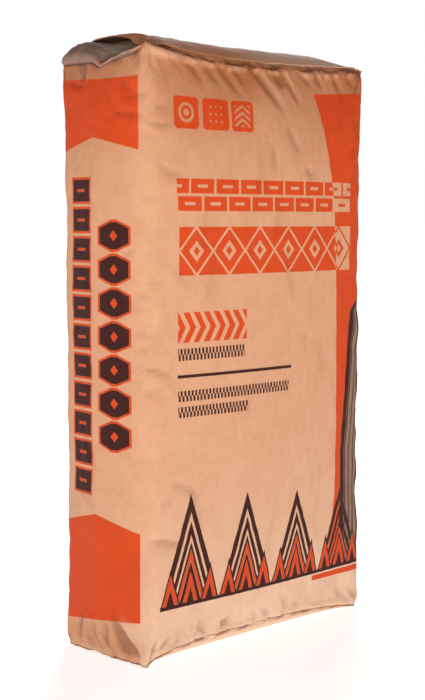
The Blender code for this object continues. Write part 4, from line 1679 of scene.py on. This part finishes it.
def sheet_on_end(name, layout, end_points, alongs, acrosses, lift, thickness, material, raise_edges):
    """A thin sheet that lies on part of an end's points, at a lift above or below them."""
    columns = within(layout.alongs, *alongs)
    rows = within(layout.acrosses, *acrosses)
    ground = end_points[np.ix_(columns, rows)]
    along, across = np.meshgrid(layout.alongs[columns], layout.acrosses[rows], indexing="ij")
    from_edge = np.minimum.reduce((
        along - alongs[0], alongs[1] - along, across - acrosses[0], acrosses[1] - across))
    curl = np.clip(noise_at(ground, 46.0, 53.0) + 0.35, 0.0, 1.0) * np.exp(-from_edge / 0.0040)
    lower = ground.copy()
    lower[..., 2] += lift(along, across) + raise_edges * curl
    ragged = 0.0005 * np.exp(-from_edge / 0.0015)
    lower[..., 0] += ragged * noise_at(ground, 420.0, 61.0)
    lower[..., 1] += ragged * noise_at(ground, 420.0, 67.0)
    upper = lower.copy()
    upper[..., 2] += thickness
    return closed_sheet(name, lower, upper, material)


def closed_sheet(name, lower, upper, material):
    """A closed piece between two grids of points."""
    size = lower[..., 0].size
    numbers = np.arange(size).reshape(lower.shape[:2])
    a, b, c, d = numbers[:-1, :-1], numbers[:-1, 1:], numbers[1:, 1:], numbers[1:, :-1]
    faces = [
        np.stack((a, b, c, d), axis=-1).reshape(-1, 4),
        np.stack((a, d, c, b), axis=-1).reshape(-1, 4) + size,
    ]
    rim = np.concatenate((numbers[:-1, 0], numbers[-1, :-1], numbers[:0:-1, -1], numbers[0, :0:-1]))
    after = np.roll(rim, -1)
    faces.append(np.stack((rim, after, after + size, rim + size), axis=-1))
    points = np.concatenate((lower.reshape(-1, 3), upper.reshape(-1, 3)))
    return new_mesh_object(name, points, np.concatenate(faces), material, math.radians(50))


def finish_piece(piece, slot, *nodes):
    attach(piece, BODY)
    if nodes:
        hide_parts(*nodes)


def sack_points():
    return mesh_points(bpy.data.objects["sack_paper"].data)


def mouth_opening(valve, along, across):
    """Height between the sleeve's plies, shut at its sides and deep inside."""
    depth = np.clip((along - MOUTH) / (VALVE_HIGH.x - MOUTH), 0.0, 1.0)
    width = np.clip((across - VALVE_LOW.y) / (VALVE_HIGH.y - VALVE_LOW.y), 0.0, 1.0)
    profile = width**0.35 * (1 - width) ** 0.60 / 0.53
    return valve.gape * profile * (1 - depth) ** 1.3


def sleeve_rise(valve, along, across):
    """How far the sleeve lifts the sheet that covers it."""
    beside = np.maximum(VALVE_LOW.y - across, across - VALVE_HIGH.y)
    behind = along - VALVE_HIGH.x
    plies = 2 * valve.ply * ease(1 - np.maximum(beside, behind) / 0.006)
    return plies + mouth_opening(valve, along, across)


# Operators

class SACK_OT_stage(bpy.types.Operator):
    """Add the floor, the soft lights and the camera"""

    bl_idname = "sack.stage"
    bl_label = "Stage"

    def execute(self, context):
        settings = context.scene.sack_stage
        add_floor(settings)
        add_surroundings(context.scene, settings)
        add_lights(settings)
        add_camera(context.scene, settings)
        context.scene.view_settings.view_transform = "Standard"
        return {"FINISHED"}


def add_floor(settings):
    material = bpy.data.materials.new("pale_floor")
    material.use_nodes = True
    shader = material.node_tree.nodes["Principled BSDF"]
    shader.inputs["Base Color"].default_value = (*settings.floor_colour, 1.0)
    shader.inputs["Roughness"].default_value = 0.9
    shader.inputs["Emission Strength"].default_value = 1.0
    tree = material.node_tree
    coordinates = tree.nodes.new("ShaderNodeTexCoord")
    distance = tree.nodes.new("ShaderNodeVectorMath")
    distance.operation = "LENGTH"
    tree.links.new(coordinates.outputs["Object"], distance.inputs[0])
    far = ((Field(tree, distance.outputs["Value"]) - 0.9) / 2.6).clamped()
    glow = blend_colour(tree, far, (settings.floor_glow,) * 3, (1.0, 1.0, 1.0))
    tree.links.new(glow, shader.inputs["Emission Color"])
    bm = bmesh.new()
    bmesh.ops.create_circle(bm, cap_ends=True, segments=96, radius=60.0)
    mesh = bpy.data.meshes.new("floor")
    bm.to_mesh(mesh)
    bm.free()
    mesh.materials.append(material)
    add_object("floor", mesh)


def add_surroundings(scene, settings):
    world = bpy.data.worlds.new("surroundings")
    scene.world = world
    world.use_nodes = True
    tree = world.node_tree
    light = tree.nodes["Background"]
    light.inputs["Color"].default_value = (1.0, 1.0, 1.0, 1.0)
    light.inputs["Strength"].default_value = settings.surroundings
    seen = tree.nodes.new("ShaderNodeBackground")
    seen.inputs["Color"].default_value = (1.0, 1.0, 1.0, 1.0)
    seen.inputs["Strength"].default_value = 1.0
    path = tree.nodes.new("ShaderNodeLightPath")
    blend = tree.nodes.new("ShaderNodeMixShader")
    tree.links.new(path.outputs["Is Camera Ray"], blend.inputs["Fac"])
    tree.links.new(light.outputs["Background"], blend.inputs[1])
    tree.links.new(seen.outputs["Background"], blend.inputs[2])
    tree.links.new(blend.outputs["Shader"], tree.nodes["World Output"].inputs["Surface"])


def add_lights(settings):
    middle = Vector((0.0, 0.0, 0.30))
    softboxes = (
        ("key_light", (-1.62, -1.66, 0.34), 0.6, settings.key_light),
        ("fill_light", (0.7, -2.2, 0.30), 0.5, settings.fill_light),
        ("back_light", (-1.5, 2.1, 0.45), 0.8, settings.back_light),
        ("top_light", (1.6, 1.4, 1.5), 0.8, settings.top_light),
    )
    for name, place, size, power in softboxes:
        lamp = bpy.data.lights.new(name, "AREA")
        lamp.shape = "SQUARE"
        lamp.size = size
        lamp.energy = power
        light = add_object(name, lamp)
        light.location = place
        light.rotation_euler = (middle - light.location).to_track_quat("-Z", "Y").to_euler()
        light.visible_camera = False


def add_camera(scene, settings):
    azimuth, drop = settings.view_azimuth, settings.view_drop
    forward = Vector((
        -math.sin(azimuth) * math.cos(drop), math.cos(azimuth) * math.cos(drop), -math.sin(drop)))
    right = Vector((math.cos(azimuth), math.sin(azimuth), 0.0))
    lens = bpy.data.cameras.new("camera")
    lens.lens = settings.focal_length
    lens.sensor_width = 36.0
    camera = add_object("camera", lens)
    target = Vector((0.0, 0.0, settings.view_height)) + right * settings.view_shift
    camera.location = target - forward * settings.view_distance
    camera.rotation_euler = forward.to_track_quat("-Z", "Y").to_euler()
    scene.camera = camera


class SACK_OT_paper_tube(bpy.types.Operator):
    """Fill the printed paper tube and fold both its ends"""

    bl_idname = "sack.paper_tube"
    bl_label = "Paper Tube"

    def execute(self, context):
        paper, ends = context.scene.sack_paper, context.scene.sack_ends
        layout = Layout()
        points, pressing = tube_points(paper, ends, layout)
        sack = new_mesh_object("sack_paper", points, tube_faces(layout), printed_kraft(paper))
        paper_uv(sack.data, layout)
        set_attribute(sack.data, "press", np.clip(pressing / FULL_PRESS, -1.0, 1.0))
        set_attribute(sack.data, "dust", valve_dust(points))
        set_attribute(sack.data, "painted_shade", painted_top_shade(layout, points))
        set_attribute(sack.data, "paleness", foot_paleness(layout, points))
        set_attribute(sack.data, "liveliness", crease_liveliness(points))
        finish_piece(sack, "printed_kraft", "paper_sack")
        return {"FINISHED"}


class SACK_OT_end_sheets(bpy.types.Operator):
    """Paste the cover sheets over both folded ends"""

    bl_idname = "sack.end_sheets"
    bl_label = "End Sheets"

    def execute(self, context):
        paper, ends, valve = context.scene.sack_paper, context.scene.sack_ends, context.scene.sack_valve
        layout = Layout()
        points = sack_points()
        material = plain_kraft("cover_kraft", ends.sheet_kraft, paper, 0.0)

        def over_top(along, across):
            from_corner = np.hypot(along - MOUTH, across - SHEET_FRONT)
            curled = ends.corner_curl * hump(from_corner, 0.011)
            return ends.bond_gap * 2 + sleeve_rise(valve, along, across) + curled

        def under_base(along, across):
            return along * 0 - ends.bond_gap - ends.sheet_thickness

        top = sheet_on_end(
            "top_cover", layout, points[layout.top], (MOUTH, FAR_EDGE), (SHEET_FRONT, SHEET_BACK),
            over_top, ends.sheet_thickness, material, ends.edge_lift)
        bottom = sheet_on_end(
            "bottom_cover", layout, points[layout.bottom], (-FAR_EDGE, FAR_EDGE), (SHEET_FRONT, SHEET_BACK),
            under_base, ends.sheet_thickness, material, 0.0)
        for piece, node in ((top, "top_cover_sheet"), (bottom, "bottom_cover_sheet")):
            add_piece_attributes(piece, dusty=0.5)
            finish_piece(piece, "cover_kraft", node)
        return {"FINISHED"}


def add_piece_attributes(piece, dusty=1.0, mouth_shade=0.0):
    """Worn, dusty and pale places of a pasted piece, with painted shade at the valve's mouth and inside it.
    """
    mesh = piece.data
    points = mesh_points(mesh)
    # Painted shade at the valve's mouth and inside it
    inside = mouth_shade * ease((points[:, 0] - MOUTH + 0.009) / 0.011)
    set_attribute(mesh, "press", -inside)
    set_attribute(mesh, "dust", valve_dust(points) * dusty * (1 - 0.85 * np.minimum(inside, 1.0)))
    # Painted light: the top sheet is paler towards its far end; the bottom sheet is pale
    far_along_top = 0.45 * ease((points[:, 0] + 0.08) / 0.16)
    set_attribute(mesh, "paleness", np.where(points[:, 2] < HALF_END, 0.9, far_along_top))


class SACK_OT_valve(bpy.types.Operator):
    """Add the flattened filling sleeve with its open mouth and its lower lip"""

    bl_idname = "sack.valve"
    bl_label = "Valve Sleeve"

    def execute(self, context):
        paper, ends, valve = context.scene.sack_paper, context.scene.sack_ends, context.scene.sack_valve
        layout = Layout()
        ground = sack_points()[layout.top]
        material = plain_kraft("valve_kraft", valve.sleeve_kraft, paper, 0.34)
        columns = within(layout.alongs, LIP_END, VALVE_HIGH.x)
        rows = within(layout.acrosses, VALVE_LOW.y, VALVE_HIGH.y)
        along, across = np.meshgrid(layout.alongs[columns], layout.acrosses[rows], indexing="ij")
        seat = ground[np.ix_(columns, rows)]
        seat[..., 2] += ends.bond_gap
        seat[..., 0] += 0.0010 * noise_at(seat, 130.0, 71.0) * np.exp(-(along - LIP_END) / 0.003)
        floor = seat.copy()
        floor[..., 2] += valve.ply
        lower = closed_sheet("valve_lower_ply", seat, floor, material)
        inner = layout.alongs[columns] > MOUTH - SNUG
        roof = floor[inner].copy()
        roof[..., 2] += mouth_opening(valve, along[inner], across[inner]) + 0.00005
        cover = roof.copy()
        cover[..., 2] += valve.ply
        upper = closed_sheet("valve_upper_ply", roof, cover, material)
        for piece in (lower, upper):
            add_piece_attributes(piece, mouth_shade=1.5)
        joined = join_pieces("valve", (lower, upper))
        finish_piece(joined, "valve_kraft", "valve_sleeve")
        return {"FINISHED"}


def scatter_tree(name, inputs):
    """A geometry node tree with named inputs, and its first and last nodes."""
    tree = bpy.data.node_groups.new(name, "GeometryNodeTree")
    tree.interface.new_socket("Geometry", in_out="INPUT", socket_type="NodeSocketGeometry")
    for socket_name, kind in inputs:
        tree.interface.new_socket(socket_name, in_out="INPUT", socket_type=kind)
    tree.interface.new_socket("Geometry", in_out="OUTPUT", socket_type="NodeSocketGeometry")
    return tree, tree.nodes.new("NodeGroupInput"), tree.nodes.new("NodeGroupOutput")


def random_value(tree, kind, low, high, seed):
    """Output of a Random Value node between two limits."""
    node = tree.nodes.new("FunctionNodeRandomValue")
    node.data_type = kind
    first = 0 if kind == "FLOAT_VECTOR" else 2
    node.inputs[first].default_value = low
    node.inputs[first + 1].default_value = high
    tree.links.new(seed, node.inputs["Seed"])
    return node.outputs[0 if kind == "FLOAT_VECTOR" else 1]


def scatter(tree, source, result, points, instance, sizes, material):
    """Instances at points, each turned and sized at random, made real in one material."""
    place = tree.nodes.new("GeometryNodeInstanceOnPoints")
    tree.links.new(points, place.inputs["Points"])
    tree.links.new(instance, place.inputs["Instance"])
    turn = random_value(tree, "FLOAT_VECTOR", (-1.9, -1.9, 0.0), (1.9, 1.9, 6.28), source.outputs["Seed"])
    tree.links.new(turn, place.inputs["Rotation"])
    tree.links.new(random_value(tree, "FLOAT", *sizes, source.outputs["Seed"]), place.inputs["Scale"])
    real = tree.nodes.new("GeometryNodeRealizeInstances")
    tree.links.new(place.outputs["Instances"], real.inputs["Geometry"])
    finish = tree.nodes.new("GeometryNodeSetMaterial")
    finish.inputs["Material"].default_value = material
    tree.links.new(real.outputs["Geometry"], finish.inputs["Geometry"])
    tree.links.new(finish.outputs["Geometry"], result.inputs["Geometry"])


def fibre_tree(material):
    """Tapered fibres along the edges of a guide."""
    tree, source, result = scatter_tree("torn_fibres", (
        ("Spacing", "NodeSocketFloat"), ("Length", "NodeSocketFloat"), ("Seed", "NodeSocketInt")))
    curve = tree.nodes.new("GeometryNodeMeshToCurve")
    tree.links.new(source.outputs["Geometry"], curve.inputs["Mesh"])
    spread = tree.nodes.new("GeometryNodeResampleCurve")
    spread.mode = "LENGTH"
    tree.links.new(curve.outputs["Curve"], spread.inputs["Curve"])
    tree.links.new(source.outputs["Spacing"], spread.inputs["Length"])
    cone = tree.nodes.new("GeometryNodeMeshCone")
    cone.inputs["Vertices"].default_value = 3
    cone.inputs["Radius Top"].default_value = 0.0
    cone.inputs["Radius Bottom"].default_value = 0.00007
    tree.links.new(source.outputs["Length"], cone.inputs["Depth"])
    scatter(tree, source, result, spread.outputs["Curve"], cone.outputs["Mesh"], (0.4, 1.2), material)
    return tree


def grain_tree(material):
    """Small uneven grains over the faces of a guide."""
    tree, source, result = scatter_tree("cement_grains", (
        ("Density", "NodeSocketFloat"), ("Radius", "NodeSocketFloat"), ("Seed", "NodeSocketInt")))
    spread = tree.nodes.new("GeometryNodeDistributePointsOnFaces")
    tree.links.new(source.outputs["Geometry"], spread.inputs["Mesh"])
    tree.links.new(source.outputs["Density"], spread.inputs["Density"])
    tree.links.new(source.outputs["Seed"], spread.inputs["Seed"])
    grain = tree.nodes.new("GeometryNodeMeshIcoSphere")
    grain.inputs["Subdivisions"].default_value = 1
    tree.links.new(source.outputs["Radius"], grain.inputs["Radius"])
    scatter(tree, source, result, spread.outputs["Points"], grain.outputs["Mesh"], (0.35, 1.15), material)
    return tree


def scattered_piece(name, guide_points, guide_edges, guide_faces, tree, values):
    """A plain mesh piece from a node tree that runs on a guide of points, edges or faces."""
    mesh = bpy.data.meshes.new("guide")
    mesh.from_pydata(guide_points, guide_edges, guide_faces)
    guide = add_object("guide", mesh)
    modifier = guide.modifiers.new("scatter", "NODES")
    modifier.node_group = tree
    for item in tree.interface.items_tree:
        if item.in_out == "INPUT" and item.name in values:
            modifier[item.identifier] = values[item.name]
    made = bpy.data.meshes.new_from_object(guide.evaluated_get(bpy.context.evaluated_depsgraph_get()))
    bpy.data.objects.remove(guide, do_unlink=True)
    bpy.data.meshes.remove(mesh)
    if not made.polygons:
        raise RuntimeError(f"{name}: nothing was scattered")
    made.name = name
    return add_object(name, made)


class SACK_OT_torn_fibres(bpy.types.Operator):
    """Scatter torn fibres along the free edges of the top sheet and of the sleeve"""

    bl_idname = "sack.torn_fibres"
    bl_label = "Torn Fibres"

    def execute(self, context):
        valve = context.scene.sack_valve
        points, edges = [], []
        for name, axis, line in FREE_EDGES:
            places = [v.co.copy() for v in bpy.data.objects[name].data.vertices]
            edge = [co for co in places if abs(co[axis] - line) < EDGE_REACH]
            edge.sort(key=lambda co: co[1 - axis])
            first = len(points)
            points += [tuple(co) for co in edge[::2]]
            edges += [(k, k + 1) for k in range(first, len(points) - 1)]
        material = mottled_material(
            "torn_fibres", 0.85, (FIBRE, PALE_FIBRE), 700.0, (6000.0, 1.0, 0.00003))
        piece = scattered_piece("torn_fibres", points, edges, [], fibre_tree(material), {
            "Spacing": valve.fibre_spacing, "Length": valve.fibre_length, "Seed": valve.seed})
        finish_piece(piece, "cover_kraft")
        return {"FINISHED"}


class SACK_OT_cement_grains(bpy.types.Operator):
    """Scatter loose cement grains over the sleeve's lower lip"""

    bl_idname = "sack.cement_grains"
    bl_label = "Cement Grains"

    def execute(self, context):
        paper, valve = context.scene.sack_paper, context.scene.sack_valve
        mesh = bpy.data.objects["valve"].data
        faces = [
            tuple(face.vertices) for face in mesh.polygons
            if face.normal.z > 0.5 and face.center.x < MOUTH + 0.004
        ]
        points = [tuple(v.co) for v in mesh.vertices]
        material = mottled_material(
            "cement_grains", 0.92, (paper.dust, DARK_GRAIN), 1100.0, (5200.0, 2.0, 0.00008))
        piece = scattered_piece("cement_grains", points, [], faces, grain_tree(material), {
            "Density": valve.grain_density, "Radius": valve.grain_radius, "Seed": valve.seed})
        finish_piece(piece, "valve_kraft")
        return {"FINISHED"}


def join_pieces(name, pieces):
    """One piece from several, with their attributes."""
    bm = bmesh.new()
    for piece in pieces:
        bm.from_mesh(piece.data)
    mesh = bpy.data.meshes.new(name)
    bm.to_mesh(mesh)
    bm.free()
    mesh.materials.append(pieces[0].data.materials[0])
    joined = add_object(name, mesh)
    for piece in pieces:
        old = piece.data
        bpy.data.objects.remove(piece, do_unlink=True)
        bpy.data.meshes.remove(old)
    return joined


class SACK_PT_panel(bpy.types.Panel):
    """Steps that build the sack"""

    bl_label = "Paper Cement Sack"
    bl_idname = "SACK_PT_panel"
    bl_space_type = "VIEW_3D"
    bl_region_type = "UI"
    bl_category = "Sack"

    def draw(self, context):
        layout = self.layout
        for operator in OPERATORS:
            layout.operator(operator.bl_idname)
        for group_name, group in SETTINGS.items():
            box = layout.box()
            box.label(text=group.__doc__)
            for name in group.__annotations__:
                box.prop(getattr(context.scene, group_name), name)


SETTINGS = {
    "sack_paper": SackPaperSettings,
    "sack_ends": SackEndSettings,
    "sack_valve": SackValveSettings,
    "sack_stage": SackStageSettings,
}
OPERATORS = (
    SACK_OT_stage,
    SACK_OT_paper_tube,
    SACK_OT_end_sheets,
    SACK_OT_valve,
    SACK_OT_torn_fibres,
    SACK_OT_cement_grains,
)


def register():
    for cls in (*SETTINGS.values(), *OPERATORS, SACK_PT_panel):
        bpy.utils.register_class(cls)
    for name, group in SETTINGS.items():
        setattr(bpy.types.Scene, name, PointerProperty(type=group))


def unregister():
    for name in SETTINGS:
        delattr(bpy.types.Scene, name)
    for cls in reversed((*SETTINGS.values(), *OPERATORS, SACK_PT_panel)):
        bpy.utils.unregister_class(cls)


def main():
    register()
    bpy.ops.sack.stage()
    bpy.ops.sack.paper_tube()
    bpy.ops.sack.end_sheets()
    bpy.ops.sack.valve()
    bpy.ops.sack.torn_fibres()
    bpy.ops.sack.cement_grains()


if __name__ == "__main__":
    main()
